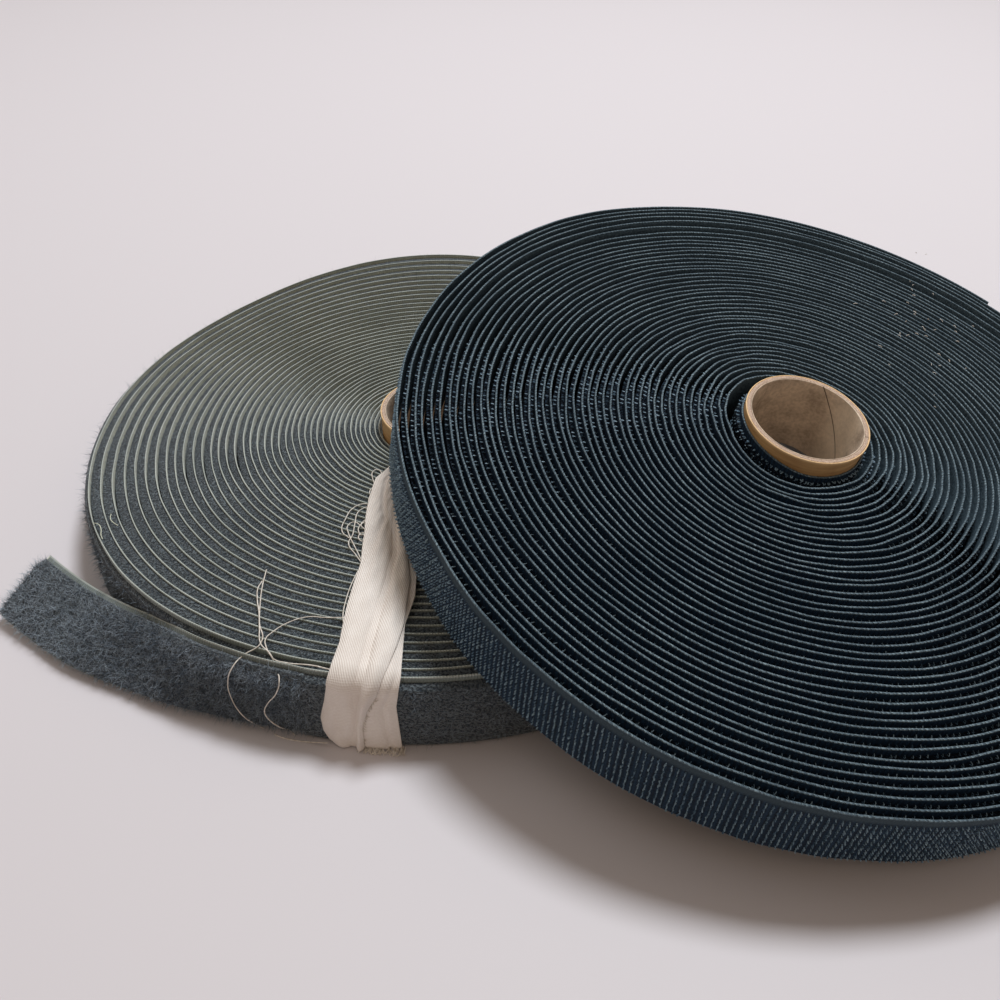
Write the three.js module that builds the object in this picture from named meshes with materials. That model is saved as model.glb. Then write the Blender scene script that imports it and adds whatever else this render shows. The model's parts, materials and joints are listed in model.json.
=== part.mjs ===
// A pair of hook and loop tape rolls: a loop roll lying flat, with its free end peeling away and a cloth
// tie over its rim, and a hook roll leaning on it. Each roll is wound on a short cardboard core.
// Lengths are in millimetres, angles in degrees where they are named, and +Z is up.
import * as THREE from 'three';

const degree = Math.PI / 180;
const fullTurn = 2 * Math.PI;

// Tape, the same width on both rolls. One drawn turn stands for about two real ones.
const tapeWidth = 25;
const stepsPerTurn = 24;

// Cardboard core, the same tube in both rolls: three plies glued one round the other.
const coreRadius = 20.7;
const coreLength = 29;
const wrapPly = 0.4;
const boardPly = 0.9;
const linerPly = 0.4;
const glueLine = 0.25;
const coreSides = 40;

// Loop roll, flat on the table.
const loopRoll = {
  outerRadius: 126.6,
  coreClearance: 0.6,
  turns: 20,
  innerGap: 0.55,        // clear space between the first turns
  outerGap: 2.75,        // clear space between the last turns, which lie looser
  shoulder: 1.5,         // how far the pile stays below the backing's edge
  wallFlare: 3,          // how far the last turn leans out at the table
  flareTurns: 1.3,       // the turns over which that lean grows
  coreRise: 3.2,         // from the table up to the core's foot
};

// Places where the loose outer turns of the loop roll stand out from a true circle.
const loopBulges = [
  { angle: 108, height: 22, spread: 36 },
  { angle: -128, height: 6.4, spread: 34 },
];
const bulgeFade = 4.5;   // power with which a bulge dies away towards the core

// Free end of the loop tape. It leaves the roll beside the tie, bends out, then curls back and leans over.
const freeEnd = {
  peelAngle: -88,
  length: 119,
  steps: 16,
  seam: 0.3,
  bendOut: 6.8,
  bendLength: 8,
  curlIn: 15.5,
  curlLength: 89,
  tipCurl: 16.5,
  tipCurlLength: 58,
  lean: 60,
  leanLength: 99,
  lift: 1.5,
  liftLength: 80,
};

// Hook roll. Its turns rise towards the core, and its core sits loose and off centre.
const hookRoll = {
  outerRadius: 137,
  endAngle: 60,          // where the tape's outer end lies, on the far side
  coreClearance: 1.3,
  coreShift: 0.8,
  coreShiftAngle: 55,
  turns: 22,
  innerGap: 0.6,
  outerGap: 1.2,
  shoulder: 1.5,
  dome: 4,
  coreRise: 1.7,
};

// How the hook roll leans: its low rim is on the table and its underside is on the loop roll's rim.
const rollSpacing = 125.4;
const leanAngle = -30.5;
const restGap = 0.3;

// Cloth tie, a folded strip from near the core over the loop roll's rim to the table.
const tie = {
  clearance: 0.5,
  thickness: 1.2,
  foldHeight: 2.3,
  innerRadius: 27,
  innerAngle: -96,
  rimAngle: -79.8,
  innerHalfWidth: 6.5,
  rimHalfWidth: 10,
  footHalfWidth: 13,
  cornerRadius: 3.2,
  cornerInset: 2.4,      // from the outer face of the last turn in to the corner's centre
  footHeight: 0.4,
  topSteps: 13,
  cornerSteps: 4,
  wallSteps: 7,
};
const foldShares = [0.1, 0.75, 0.45, 0.9, 1, 0.4, 0.7, 0.35, 0.05];

function smoothStep(share) {
  const x = Math.min(Math.max(share, 0), 1);
  return x * x * (3 - 2 * x);
}

function mix(from, to, share) {
  return from + (to - from) * share;
}

function polar(radius, angle, height) {
  return new THREE.Vector3(radius * Math.cos(angle), radius * Math.sin(angle), height);
}

// Joins a row of closed sections, all of the same count of points, into one closed body.
// The first half of a section runs along one side of the strip and the second half runs back along the other.
function skin(sections) {
  const count = sections[0].length;
  const half = count / 2;
  const last = (sections.length - 1) * count;
  const positions = sections.flat().flatMap((point) => [point.x, point.y, point.z]);
  const faces = [];
  for (let row = 0; row < sections.length - 1; row++) {
    for (let column = 0; column < count; column++) {
      const a = row * count + column;
      const b = row * count + (column + 1) % count;
      faces.push(a, b, a + count, b, b + count, a + count);
    }
  }
  for (let column = 0; column < half - 1; column++) {
    const next = column + 1;
    const back = count - 1 - column;
    faces.push(column, back, next, back, back - 1, next);
    faces.push(last + column, last + next, last + back, last + back, last + next, last + back - 1);
  }
  const geometry = new THREE.BufferGeometry();
  geometry.setAttribute('position', new THREE.Float32BufferAttribute(positions, 3));
  geometry.setIndex(volumeOf(positions, faces) < 0 ? faces.reverse() : faces);
  geometry.computeVertexNormals();
  return geometry;
}

function volumeOf(positions, faces) {
  const corner = (index) => new THREE.Vector3().fromArray(positions, 3 * faces[index]);
  let volume = 0;
  for (let index = 0; index < faces.length; index += 3) {
    volume += corner(index).dot(corner(index + 1).cross(corner(index + 2)));
  }
  return volume;
}

// A winding: inner radius, strip thickness and turn spacing all follow from the roll's two radii.
function windingOf(roll) {
  const startRadius = coreRadius + roll.coreClearance;
  const meanGap = (roll.innerGap + roll.outerGap) / 2;
  const thickness = (roll.outerRadius - startRadius - roll.turns * meanGap) / (roll.turns + 1);
  const gapGrowth = (roll.outerGap - roll.innerGap) / (2 * roll.turns);
  const innerFace = (turn) => startRadius + turn * (thickness + roll.innerGap) + gapGrowth * turn * turn;
  return { thickness, innerFace };
}

// Inner face of the last turn that passes a given angle.
function lastInnerFace(roll, endAngle, angle) {
  const turnsBack = THREE.MathUtils.euclideanModulo(angle - endAngle, 360) / 360;
  return windingOf(roll).innerFace(roll.turns - turnsBack);
}

function bulgeAt(radius, angle, outerRadius, bulges) {
  let height = 0;
  for (const bulge of bulges) {
    const away = THREE.MathUtils.euclideanModulo(angle / degree - bulge.angle + 180, 360) - 180;
    height += bulge.height * Math.exp(-((away / bulge.spread) ** 2));
  }
  return height * (radius / outerRadius) ** bulgeFade;
}

// Order of the four corners in a section of tape.
const innerFoot = 0;
const innerTop = 1;
const outerTop = 2;
const outerFoot = 3;

// The strip of a winding, from beside the core outwards, clockwise seen from above.
function windingSections(roll, { endAngle, bulges = [], heightAt = () => 0, flareAt = () => 0 }) {
  const { thickness, innerFace } = windingOf(roll);
  const sections = [];
  for (let step = 0; step <= roll.turns * stepsPerTurn; step++) {
    const turn = step / stepsPerTurn;
    const angle = endAngle * degree + (roll.turns - turn) * fullTurn;
    const inner = innerFace(turn) + bulgeAt(innerFace(turn), angle, roll.outerRadius, bulges);
    const outer = inner + thickness;
    const rise = heightAt(innerFace(turn));
    const flare = flareAt(turn);
    const section = [];
    section[innerFoot] = polar(inner + flare, angle, rise);
    section[innerTop] = polar(inner, angle, rise + tapeWidth);
    section[outerTop] = polar(outer, angle, rise + tapeWidth - roll.shoulder);
    section[outerFoot] = polar(outer + flare, angle, rise);
    sections.push(section);
  }
  return sections;
}

// Least distance, in plan, between the outer face of each turn and the inner face of the next one.
const edgesLookedAt = 2; // on each side of the place one turn further out

function leastGap(sections, outerCorner, innerCorner) {
  const flat = (point) => new THREE.Vector3(point.x, point.y, 0);
  const nearest = new THREE.Vector3();
  let least = Infinity;
  for (let step = 0; step + stepsPerTurn < sections.length; step++) {
    const here = flat(sections[step][outerCorner]);
    const ahead = flat(sections[step + 1][outerCorner]);
    const samples = [here, here.clone().lerp(ahead, 1 / 2)];
    const firstEdge = step + stepsPerTurn - edgesLookedAt;
    const lastEdge = Math.min(step + stepsPerTurn + edgesLookedAt, sections.length - 1);
    for (let edge = firstEdge; edge < lastEdge; edge++) {
      const segment = new THREE.Line3(flat(sections[edge][innerCorner]), flat(sections[edge + 1][innerCorner]));
      for (const sample of samples) {
        segment.closestPointToPoint(sample, true, nearest);
        least = Math.min(least, nearest.distanceTo(sample));
      }
    }
  }
  return least;
}

function printLeastGap(name, sections) {
  const gap = Math.min(leastGap(sections, outerTop, innerTop), leastGap(sections, outerFoot, innerFoot));
  console.log(`${name}: least gap to itself ${gap.toFixed(2)} mm`);
}

// Free end: the lower edge of the backing is laid out step by step, then the strip is leaned over it.
function freeEndSections() {
  const { thickness, innerFace } = windingOf(loopRoll);
  const peel = freeEnd.peelAngle * degree;
  const outward = new THREE.Vector3(Math.cos(peel), Math.sin(peel), 0);
  const along = new THREE.Vector3(Math.sin(peel), -Math.cos(peel), 0);
  const lastRadius = innerFace(loopRoll.turns);
  const bulge = bulgeAt(lastRadius, peel, loopRoll.outerRadius, loopBulges);
  const rootRadius = lastRadius + bulge + loopRoll.wallFlare;
  const rootLean = Math.asin(loopRoll.wallFlare / tapeWidth);
  const edge = outward.clone().multiplyScalar(rootRadius).addScaledVector(along, freeEnd.seam);
  const stepLength = (freeEnd.length - freeEnd.seam) / freeEnd.steps;
  const up = new THREE.Vector3(0, 0, 1);
  const sections = [];
  for (let step = 0; step <= freeEnd.steps; step++) {
    const travelled = step * stepLength;
    const toTip = freeEnd.length - travelled;
    const bend = freeEnd.bendOut * smoothStep(travelled / freeEnd.bendLength);
    const curl = freeEnd.curlIn * smoothStep(travelled / freeEnd.curlLength)
      + freeEnd.tipCurl * smoothStep(1 - toTip / freeEnd.tipCurlLength);
    const heading = along.clone().applyAxisAngle(up, (bend - curl) * degree);
    const side = new THREE.Vector3(-heading.y, heading.x, 0);
    const lean = mix(rootLean, freeEnd.lean * degree, smoothStep(travelled / freeEnd.leanLength));
    const lift = freeEnd.lift * smoothStep(1 - toTip / freeEnd.liftLength);
    const across = up.clone().multiplyScalar(Math.cos(lean)).addScaledVector(side, -Math.sin(lean));
    const through = side.clone().multiplyScalar(Math.cos(lean)).addScaledVector(up, Math.sin(lean));
    const at = (width, depth) =>
      edge.clone().addScaledVector(across, width).addScaledVector(through, depth).addScaledVector(up, lift);
    const section = [];
    section[innerFoot] = at(0, 0);
    section[innerTop] = at(tapeWidth, 0);
    section[outerTop] = at(tapeWidth - loopRoll.shoulder, thickness);
    section[outerFoot] = at(0, thickness);
    sections.push(section);
    edge.addScaledVector(heading, stepLength);
  }
  return sections;
}

// Tie: a route in the plane through the roll's axis, out over the top, round the rim and down the wall.
function tieRoute() {
  const cornerCentre = loopRoll.outerRadius - tie.cornerInset;
  const topHeight = tapeWidth + tie.clearance;
  const cornerHeight = topHeight - tie.cornerRadius;
  const wallTop = cornerCentre + tie.cornerRadius;
  const wallFoot = loopRoll.outerRadius + loopRoll.wallFlare + tie.clearance;
  const wallLean = Math.atan2(wallFoot - wallTop, cornerHeight - tie.footHeight);
  const upright = fullTurn / 4;
  const route = [];
  for (let step = 0; step < tie.topSteps; step++) {
    const radius = mix(tie.innerRadius, cornerCentre, step / tie.topSteps);
    route.push({ radius, height: topHeight, normal: upright });
  }
  for (let step = 0; step < tie.cornerSteps; step++) {
    const normal = mix(upright, wallLean, step / tie.cornerSteps);
    const radius = cornerCentre + tie.cornerRadius * Math.cos(normal);
    route.push({ radius, height: cornerHeight + tie.cornerRadius * Math.sin(normal), normal });
  }
  for (let step = 0; step <= tie.wallSteps; step++) {
    const share = step / tie.wallSteps;
    const height = mix(cornerHeight, tie.footHeight, share);
    route.push({ radius: mix(wallTop, wallFoot, share), height, normal: wallLean * (1 - share) });
  }
  return route;
}

function tieSections() {
  const rimRadius = loopRoll.outerRadius;
  return tieRoute().map(({ radius, height, normal }) => {
    const toRim = Math.min((radius - tie.innerRadius) / (rimRadius - tie.innerRadius), 1);
    const downWall = 1 - height / (tapeWidth + tie.clearance);
    const angle = mix(tie.rimAngle, tie.innerAngle, (1 - toRim) ** 2) * degree;
    const halfWidth = mix(tie.innerHalfWidth, tie.rimHalfWidth, toRim)
      + (tie.footHalfWidth - tie.rimHalfWidth) * downWall;
    const at = (share, lift) => {
      const turned = angle + mix(-halfWidth, halfWidth, share) / radius;
      return polar(radius + lift * Math.cos(normal), turned, height + lift * Math.sin(normal));
    };
    const spaces = foldShares.length - 1;
    const upper = foldShares.map((fold, index) => at(index / spaces, tie.thickness + tie.foldHeight * fold));
    const lower = foldShares.map((fold, index) => at(index / spaces, 0));
    return [...upper, ...lower.reverse()];
  });
}

// One ply of a core, a tube between two radii.
function plyGeometry(outerRadius, thickness) {
  const profile = [
    new THREE.Vector2(outerRadius - thickness, 0),
    new THREE.Vector2(outerRadius, 0),
    new THREE.Vector2(outerRadius, coreLength),
    new THREE.Vector2(outerRadius - thickness, coreLength),
    new THREE.Vector2(outerRadius - thickness, 0),
  ];
  return new THREE.LatheGeometry(profile, coreSides).rotateX(fullTurn / 4);
}

function materialOf(color, roughness) {
  return new THREE.MeshStandardMaterial({ color, roughness, metalness: 0 });
}

const loopPileMaterial = materialOf(0x66736f, 0.95);
const hookMaterial = materialOf(0x1d2733, 0.7);
const kraftMaterial = materialOf(0xa98457, 0.8);
const boardMaterial = materialOf(0xb79d8a, 0.9);
const linerMaterial = materialOf(0x75614c, 0.85);
const clothMaterial = materialOf(0xded6cf, 0.9);

function meshOf(name, geometry, material) {
  const mesh = new THREE.Mesh(geometry, material);
  mesh.name = name;
  return mesh;
}

function coreOf(prefix) {
  const boardRadius = coreRadius - wrapPly - glueLine;
  const linerRadius = boardRadius - boardPly - glueLine;
  const core = new THREE.Group();
  core.add(meshOf(`${prefix}_core_wrap`, plyGeometry(coreRadius, wrapPly), kraftMaterial));
  core.add(meshOf(`${prefix}_core_board`, plyGeometry(boardRadius, boardPly), boardMaterial));
  core.add(meshOf(`${prefix}_core_liner`, plyGeometry(linerRadius, linerPly), linerMaterial));
  return core;
}

function buildLoopRoll() {
  const roll = new THREE.Group();
  const flareStart = loopRoll.turns - loopRoll.flareTurns;
  const flareAt = (turn) => loopRoll.wallFlare * smoothStep((turn - flareStart) / loopRoll.flareTurns);
  const winding = windingSections(loopRoll, { endAngle: freeEnd.peelAngle, bulges: loopBulges, flareAt });
  printLeastGap('loop_tape', winding);
  roll.add(meshOf('loop_tape', skin(winding), loopPileMaterial));
  roll.add(meshOf('loop_tape_free_end', skin(freeEndSections()), loopPileMaterial));
  roll.add(meshOf('cloth_tie', skin(tieSections()), clothMaterial));
  const core = coreOf('loop');
  core.position.z = loopRoll.coreRise;
  roll.add(core);
  return roll;
}

const domeAt = (radius) => hookRoll.dome * (1 - (radius / hookRoll.outerRadius) ** 2);

// Height of the hook roll's underside over a point of the table, for a given lean.
function undersideAt(lean, point) {
  const lowRadius = lastInnerFace(hookRoll, hookRoll.endAngle, leanAngle) + windingOf(hookRoll).thickness;
  const toward = new THREE.Vector2(Math.cos(leanAngle * degree), Math.sin(leanAngle * degree));
  const fromAxis = point.clone().sub(new THREE.Vector2(rollSpacing, 0));
  const plane = lowRadius * Math.sin(lean) - Math.tan(lean) * fromAxis.dot(toward);
  return fromAxis.length() < lowRadius ? plane + domeAt(fromAxis.length()) * Math.cos(lean) : Infinity;
}

// The lean for which the hook roll's low rim is on the table while its underside clears the loop roll's rim.
const steepestLean = 45 * degree;
const halvings = 40;

function leanOfHookRoll() {
  const rim = [];
  for (let step = 0; step < stepsPerTurn; step++) {
    const angle = freeEnd.peelAngle + 360 * step / stepsPerTurn;
    const radius = lastInnerFace(loopRoll, freeEnd.peelAngle, angle);
    rim.push(new THREE.Vector2(radius * Math.cos(angle * degree), radius * Math.sin(angle * degree)));
  }
  let low = 0;
  let high = steepestLean;
  for (let halving = 0; halving < halvings; halving++) {
    const lean = (low + high) / 2;
    const clear = Math.min(...rim.map((point) => undersideAt(lean, point))) - tapeWidth;
    if (clear < restGap) {
      low = lean;
    } else {
      high = lean;
    }
  }
  return high;
}

function buildHookRoll() {
  const roll = new THREE.Group();
  const winding = windingSections(hookRoll, { endAngle: hookRoll.endAngle, heightAt: domeAt });
  printLeastGap('hook_tape', winding);
  roll.add(meshOf('hook_tape', skin(winding), hookMaterial));
  const core = coreOf('hook');
  const shiftAngle = hookRoll.coreShiftAngle * degree;
  core.position.set(hookRoll.coreShift * Math.cos(shiftAngle), hookRoll.coreShift * Math.sin(shiftAngle),
    hookRoll.dome + hookRoll.coreRise);
  roll.add(core);
  const lean = leanOfHookRoll();
  const axis = polar(Math.sin(lean), leanAngle * degree, Math.cos(lean));
  roll.quaternion.setFromUnitVectors(new THREE.Vector3(0, 0, 1), axis);
  roll.position.set(rollSpacing, 0, 0);
  roll.position.z = -new THREE.Box3().setFromObject(roll, true).min.z;
  return roll;
}

// The origin is on the table, under the middle of the pair.
const pair = new THREE.Group();
pair.add(buildLoopRoll(), buildHookRoll());
const middle = new THREE.Box3().setFromObject(pair, true).getCenter(new THREE.Vector3());
pair.position.set(-middle.x, -middle.y, 0);

export default pair;
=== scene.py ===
# Looks of the pair of hook and loop tape rolls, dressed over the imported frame. Lengths are in metres.
import json
import math

import bpy
import numpy as np
from mathutils import Matrix, Vector
from mathutils.bvhtree import BVHTree


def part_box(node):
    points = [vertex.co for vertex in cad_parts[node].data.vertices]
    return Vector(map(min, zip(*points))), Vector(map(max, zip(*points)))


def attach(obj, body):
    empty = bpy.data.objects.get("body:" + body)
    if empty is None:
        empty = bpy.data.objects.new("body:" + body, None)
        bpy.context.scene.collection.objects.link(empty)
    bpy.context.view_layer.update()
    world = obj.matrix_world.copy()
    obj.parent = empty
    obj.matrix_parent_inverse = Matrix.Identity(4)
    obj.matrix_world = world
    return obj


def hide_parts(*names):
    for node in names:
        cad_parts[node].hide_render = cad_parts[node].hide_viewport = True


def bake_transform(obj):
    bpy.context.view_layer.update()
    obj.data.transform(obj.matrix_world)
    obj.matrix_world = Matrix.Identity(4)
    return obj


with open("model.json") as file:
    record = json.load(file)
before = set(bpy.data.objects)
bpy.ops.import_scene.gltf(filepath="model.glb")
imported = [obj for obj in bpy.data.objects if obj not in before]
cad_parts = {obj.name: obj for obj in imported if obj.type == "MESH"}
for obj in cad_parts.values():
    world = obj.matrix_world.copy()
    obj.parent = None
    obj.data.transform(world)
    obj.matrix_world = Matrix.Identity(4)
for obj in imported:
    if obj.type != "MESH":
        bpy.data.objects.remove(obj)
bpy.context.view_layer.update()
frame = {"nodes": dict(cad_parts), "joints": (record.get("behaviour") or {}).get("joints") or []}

mm = 0.001
degree = math.pi / 180
tableGap = 0.05 * mm    # what is soft and meets the table is pressed flat this far above it
worldUp = Vector((0, 0, 1))
print("frame loaded:", ", ".join(sorted(frame["nodes"])))


# Small helpers

def smoothStep(share):
    x = np.clip(share, 0, 1)
    return x * x * (3 - 2 * x)


def mix(low, high, share):
    return low + (high - low) * share


def tone(red, green, blue):
    # a colour as an eye dropper reads it, from 0 to 255, as the renderer wants it
    channels = [value / 255 for value in (red, green, blue)]
    return (*[c / 12.92 if c < 0.04045 else ((c + 0.055) / 1.055) ** 2.4 for c in channels], 1)


def link(item):
    bpy.context.scene.collection.objects.link(item)
    return item


def tidyMesh(mesh, sharpAngle=38):
    # smooth faces, crisp corners and normals that point outwards
    mesh.update()
    mesh.calc_loop_triangles()
    corners = np.array([mesh.vertices[i].co for t in mesh.loop_triangles for i in t.vertices], float)
    a, b, c = corners.reshape(-1, 3, 3).transpose(1, 0, 2)
    if np.einsum("ij,ij->i", a, np.cross(b, c)).sum() < 0:
        mesh.flip_normals()
    mesh.shade_smooth()
    mesh.set_sharp_from_angle(angle=sharpAngle * degree)
    return mesh


# Nodes: one set of helpers serves the geometry trees and the materials

class Wire:
    # a node's output that takes part in plain sums
    def __init__(self, tree, socket):
        self.tree = tree
        self.socket = socket

    def sum(self, operation, *others):
        node = self.tree.nodes.new("ShaderNodeMath")
        node.operation = operation
        node.location = (170 * len(self.tree.nodes), 0)
        for socket, value in zip(node.inputs, (self, *others)):
            feed(self.tree, socket, value)
        return Wire(self.tree, node.outputs[0])

    def __add__(self, other):
        return self.sum("ADD", other)

    def __sub__(self, other):
        return self.sum("SUBTRACT", other)

    def __mul__(self, other):
        return self.sum("MULTIPLY", other)

    def __truediv__(self, other):
        return self.sum("DIVIDE", other)

    def __rsub__(self, other):
        return (self * -1) + other

    def above(self, level):
        return self.sum("GREATER_THAN", level)

    def least(self, other):
        return self.sum("MINIMUM", other)

    def most(self, other):
        return self.sum("MAXIMUM", other)

    def ramp(self, low, high):
        # 0 at low, 1 at high, with a soft start and stop
        limits = {0: self, 1: low, 2: high}
        return addNode(self.tree, "ShaderNodeMapRange", limits, interpolation_type="SMOOTHSTEP")

    __radd__ = __add__
    __rmul__ = __mul__


def feed(tree, socket, value):
    if isinstance(value, Wire):
        tree.links.new(value.socket, socket)
    else:
        socket.default_value = value


def addNode(tree, kind, inputs=(), output=0, **settings):
    node = tree.nodes.new(kind)
    node.location = (170 * len(tree.nodes), 0)
    for name, value in settings.items():
        setattr(node, name, value)
    for name, value in dict(inputs).items():
        feed(tree, node.inputs[name], value)
    return Wire(tree, node.outputs[output])


def join(tree, x, y, z):
    return addNode(tree, "ShaderNodeCombineXYZ", {"X": x, "Y": y, "Z": z})


def parts(tree, vector):
    node = addNode(tree, "ShaderNodeSeparateXYZ", {0: vector}).socket.node
    return [Wire(tree, socket) for socket in node.outputs]


def noise(tree, place, scale, detail=1.0):
    # from -1 to 1
    return addNode(tree, "ShaderNodeTexNoise", {"Vector": place, "Scale": scale, "Detail": detail}) * 2 - 1


def chance(tree, seed):
    # a random value from -1 to 1 for each point
    return addNode(tree, "FunctionNodeRandomValue", {2: -1.0, 3: 1.0, "Seed": seed}, output=1)


def turnBy(tree, rotation, x, y, z):
    twist = addNode(tree, "FunctionNodeEulerToRotation", {"Euler": join(tree, x, y, z)})
    inputs = {"Rotation": rotation, "Rotate By": twist}
    return addNode(tree, "FunctionNodeRotateRotation", inputs, rotation_space="LOCAL")


socketKinds = {float: "NodeSocketFloat", int: "NodeSocketInt", bpy.types.Material: "NodeSocketMaterial"}


def geometryTree(name, sizes, onMesh=False):
    tree = bpy.data.node_groups.new(name, "GeometryNodeTree")
    tree.interface.new_socket("Geometry", in_out="OUTPUT", socket_type="NodeSocketGeometry")
    if onMesh:
        tree.interface.new_socket("Geometry", in_out="INPUT", socket_type="NodeSocketGeometry")
    for key, value in sizes.items():
        tree.interface.new_socket(key, in_out="INPUT", socket_type=socketKinds[type(value)])
    source = tree.nodes.new("NodeGroupInput")
    return tree, {socket.name: Wire(tree, socket) for socket in source.outputs if socket.name}


def endTree(tree, geometry, material):
    geometry = addNode(tree, "GeometryNodeRealizeInstances", {"Geometry": geometry})
    geometry = addNode(tree, "GeometryNodeSetMaterial", {"Geometry": geometry, "Material": material})
    feed(tree, tree.nodes.new("NodeGroupOutput").inputs[0], geometry)


def store(tree, geometry, name, value, domain="POINT", kind="FLOAT"):
    settings = {"Geometry": geometry, "Name": name, "Value": value}
    return addNode(tree, "GeometryNodeStoreNamedAttribute", settings, domain=domain, data_type=kind)


def stored(tree, name, kind="FLOAT"):
    return addNode(tree, "GeometryNodeInputNamedAttribute", {"Name": name}, data_type=kind)


def plant(tree, inputs, stretch, tint, material):
    # one shape on each point, stretched and tinted by chance
    inputs = {**inputs, "Scale": join(tree, stretch, stretch, stretch)}
    planted = addNode(tree, "GeometryNodeInstanceOnPoints", inputs)
    planted = store(tree, planted, "tint", tint * 0.5 + 0.5, domain="INSTANCE")
    endTree(tree, planted, material)


def grow(name, tree, sizes, base=None, place=None, sharpAngle=38):
    # runs a geometry tree and keeps the result as a plain mesh
    piece = link(bpy.data.objects.new(name, base or bpy.data.meshes.new(name)))
    modifier = piece.modifiers.new(name, "NODES")
    modifier.node_group = tree
    for item in tree.interface.items_tree:
        if item.in_out == "INPUT" and item.name in sizes:
            modifier[item.identifier] = sizes[item.name]
    evaluated = piece.evaluated_get(bpy.context.evaluated_depsgraph_get())
    mesh = bpy.data.meshes.new_from_object(evaluated)
    piece.modifiers.clear()
    piece.data = mesh
    mesh.name = name
    if place:
        mesh.transform(place)
    places = np.empty((len(mesh.vertices), 3), np.float32)
    mesh.vertices.foreach_get("co", places.ravel())
    places[:, 2] = np.maximum(places[:, 2], tableGap)
    mesh.vertices.foreach_set("co", places.ravel())
    tidyMesh(mesh, sharpAngle)
    print(f"  {name}: {len(mesh.loop_triangles)} triangles")
    return piece


# Where the two rolls stand, read from the frame

def middleOf(node):
    low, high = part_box(node)
    return (low + high) / 2


def slideAxis(joint):
    found = [j for j in frame["joints"] if j["name"] == joint]
    return Vector(found[0]["axis"]).normalized()


coreFit = {
    "hookRise": 5.7 * mm,   # how far the hook roll's core stands above the foot of its turns
    "hookShift": 0.8 * mm,  # how far off centre it lies
    "shiftAngle": 55 * degree,
}
coreRadius = (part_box("loop_core_wrap")[1].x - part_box("loop_core_wrap")[0].x) / 2
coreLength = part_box("loop_core_wrap")[1].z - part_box("loop_core_wrap")[0].z
loopMiddle = middleOf("loop_core_board")
loopPlace = Matrix.Translation((loopMiddle.x, loopMiddle.y, 0))

hookAxis = slideAxis("hook_core_slide")
hookTurn = worldUp.rotation_difference(hookAxis).to_matrix()
corners = np.array([v.co for v in frame["nodes"]["hook_core_board"].data.vertices])
hookCoreMiddle = Vector(np.unique(corners.round(7), axis=0).mean(0))
shift = Vector((math.cos(coreFit["shiftAngle"]), math.sin(coreFit["shiftAngle"]), 0)) * coreFit["hookShift"]
shift.z = coreFit["hookRise"] + coreLength / 2
hookPlace = Matrix.Translation(hookCoreMiddle - hookTurn @ shift) @ hookTurn.to_4x4()
print("rolls found at", [round(x, 4) for x in hookPlace.translation], [round(x, 4) for x in loopMiddle])


# Camera, from the photograph's own viewpoint

viewer = {
    "place": Vector((109.51, -293.62, 248.48)) * mm,   # from the loop roll's axis, at the table
    "heading": 15.92,      # degrees, anticlockwise from +Y
    "pitch": 39.83,
    "roll": -1.43,
    "lens": 36.17,         # millimetres on the sensor below
    "sensor": 36.0,
    "imageSize": 1000,
}
eye = loopPlace.translation + viewer["place"]


def viewAxes():
    heading, pitch, roll = (viewer[key] * degree for key in ("heading", "pitch", "roll"))
    ahead = Vector((
        -math.sin(heading) * math.cos(pitch), math.cos(heading) * math.cos(pitch), -math.sin(pitch)))
    level = Vector((math.cos(heading), math.sin(heading), 0))
    below = ahead.cross(level)
    right = math.cos(roll) * level + math.sin(roll) * below
    down = math.cos(roll) * below - math.sin(roll) * level
    return right, down, ahead


def makeCamera():
    right, down, ahead = viewAxes()
    data = bpy.data.cameras.new("photoCamera")
    data.lens = viewer["lens"]
    data.sensor_width = viewer["sensor"]
    data.clip_start = 0.01
    camera = link(bpy.data.objects.new("photoCamera", data))
    turn = Matrix((right, -down, -ahead)).transposed()
    camera.matrix_world = Matrix.Translation(eye) @ turn.to_4x4()
    bpy.context.scene.camera = camera


def sightLine(pixel):
    # the direction in which the camera sees a pixel of the photograph
    right, down, ahead = viewAxes()
    half = viewer["imageSize"] / 2
    focal = viewer["lens"] / viewer["sensor"] * viewer["imageSize"]
    return (ahead + right * (pixel[0] - half) / focal + down * (pixel[1] - half) / focal).normalized()


makeCamera()


# Floor and light: a pale table and a broad soft lamp from behind, which throws the shadows to the front

studio = {
    "floorTone": tone(212, 207, 211),
    "floorSize": 6.0,
    "floorRoughness": 0.6,
    "airTone": tone(255, 232, 208),
    "airStrength": 0.3,
    "backPlace": Vector((0.05, 0.72, 1.72)),
    "backSize": 0.5,
    "backPower": 29.0,
    "lampTone": tone(246, 251, 255)[:3],
    "sidePlace": Vector((-1.3, 0.1, 1.4)),
    "sideSize": 1.2,
    "sidePower": 3.0,
}


def makeLamp(side):
    place = studio[side + "Place"]
    data = bpy.data.lights.new(side + "Lamp", "AREA")
    data.shape = "DISK"
    data.size = studio[side + "Size"]
    data.energy = studio[side + "Power"]
    data.color = studio["lampTone"]
    lamp = link(bpy.data.objects.new(side + "Lamp", data))
    lamp.matrix_world = Matrix.Translation(place) @ (-place).to_track_quat("-Z", "Y").to_matrix().to_4x4()


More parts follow.
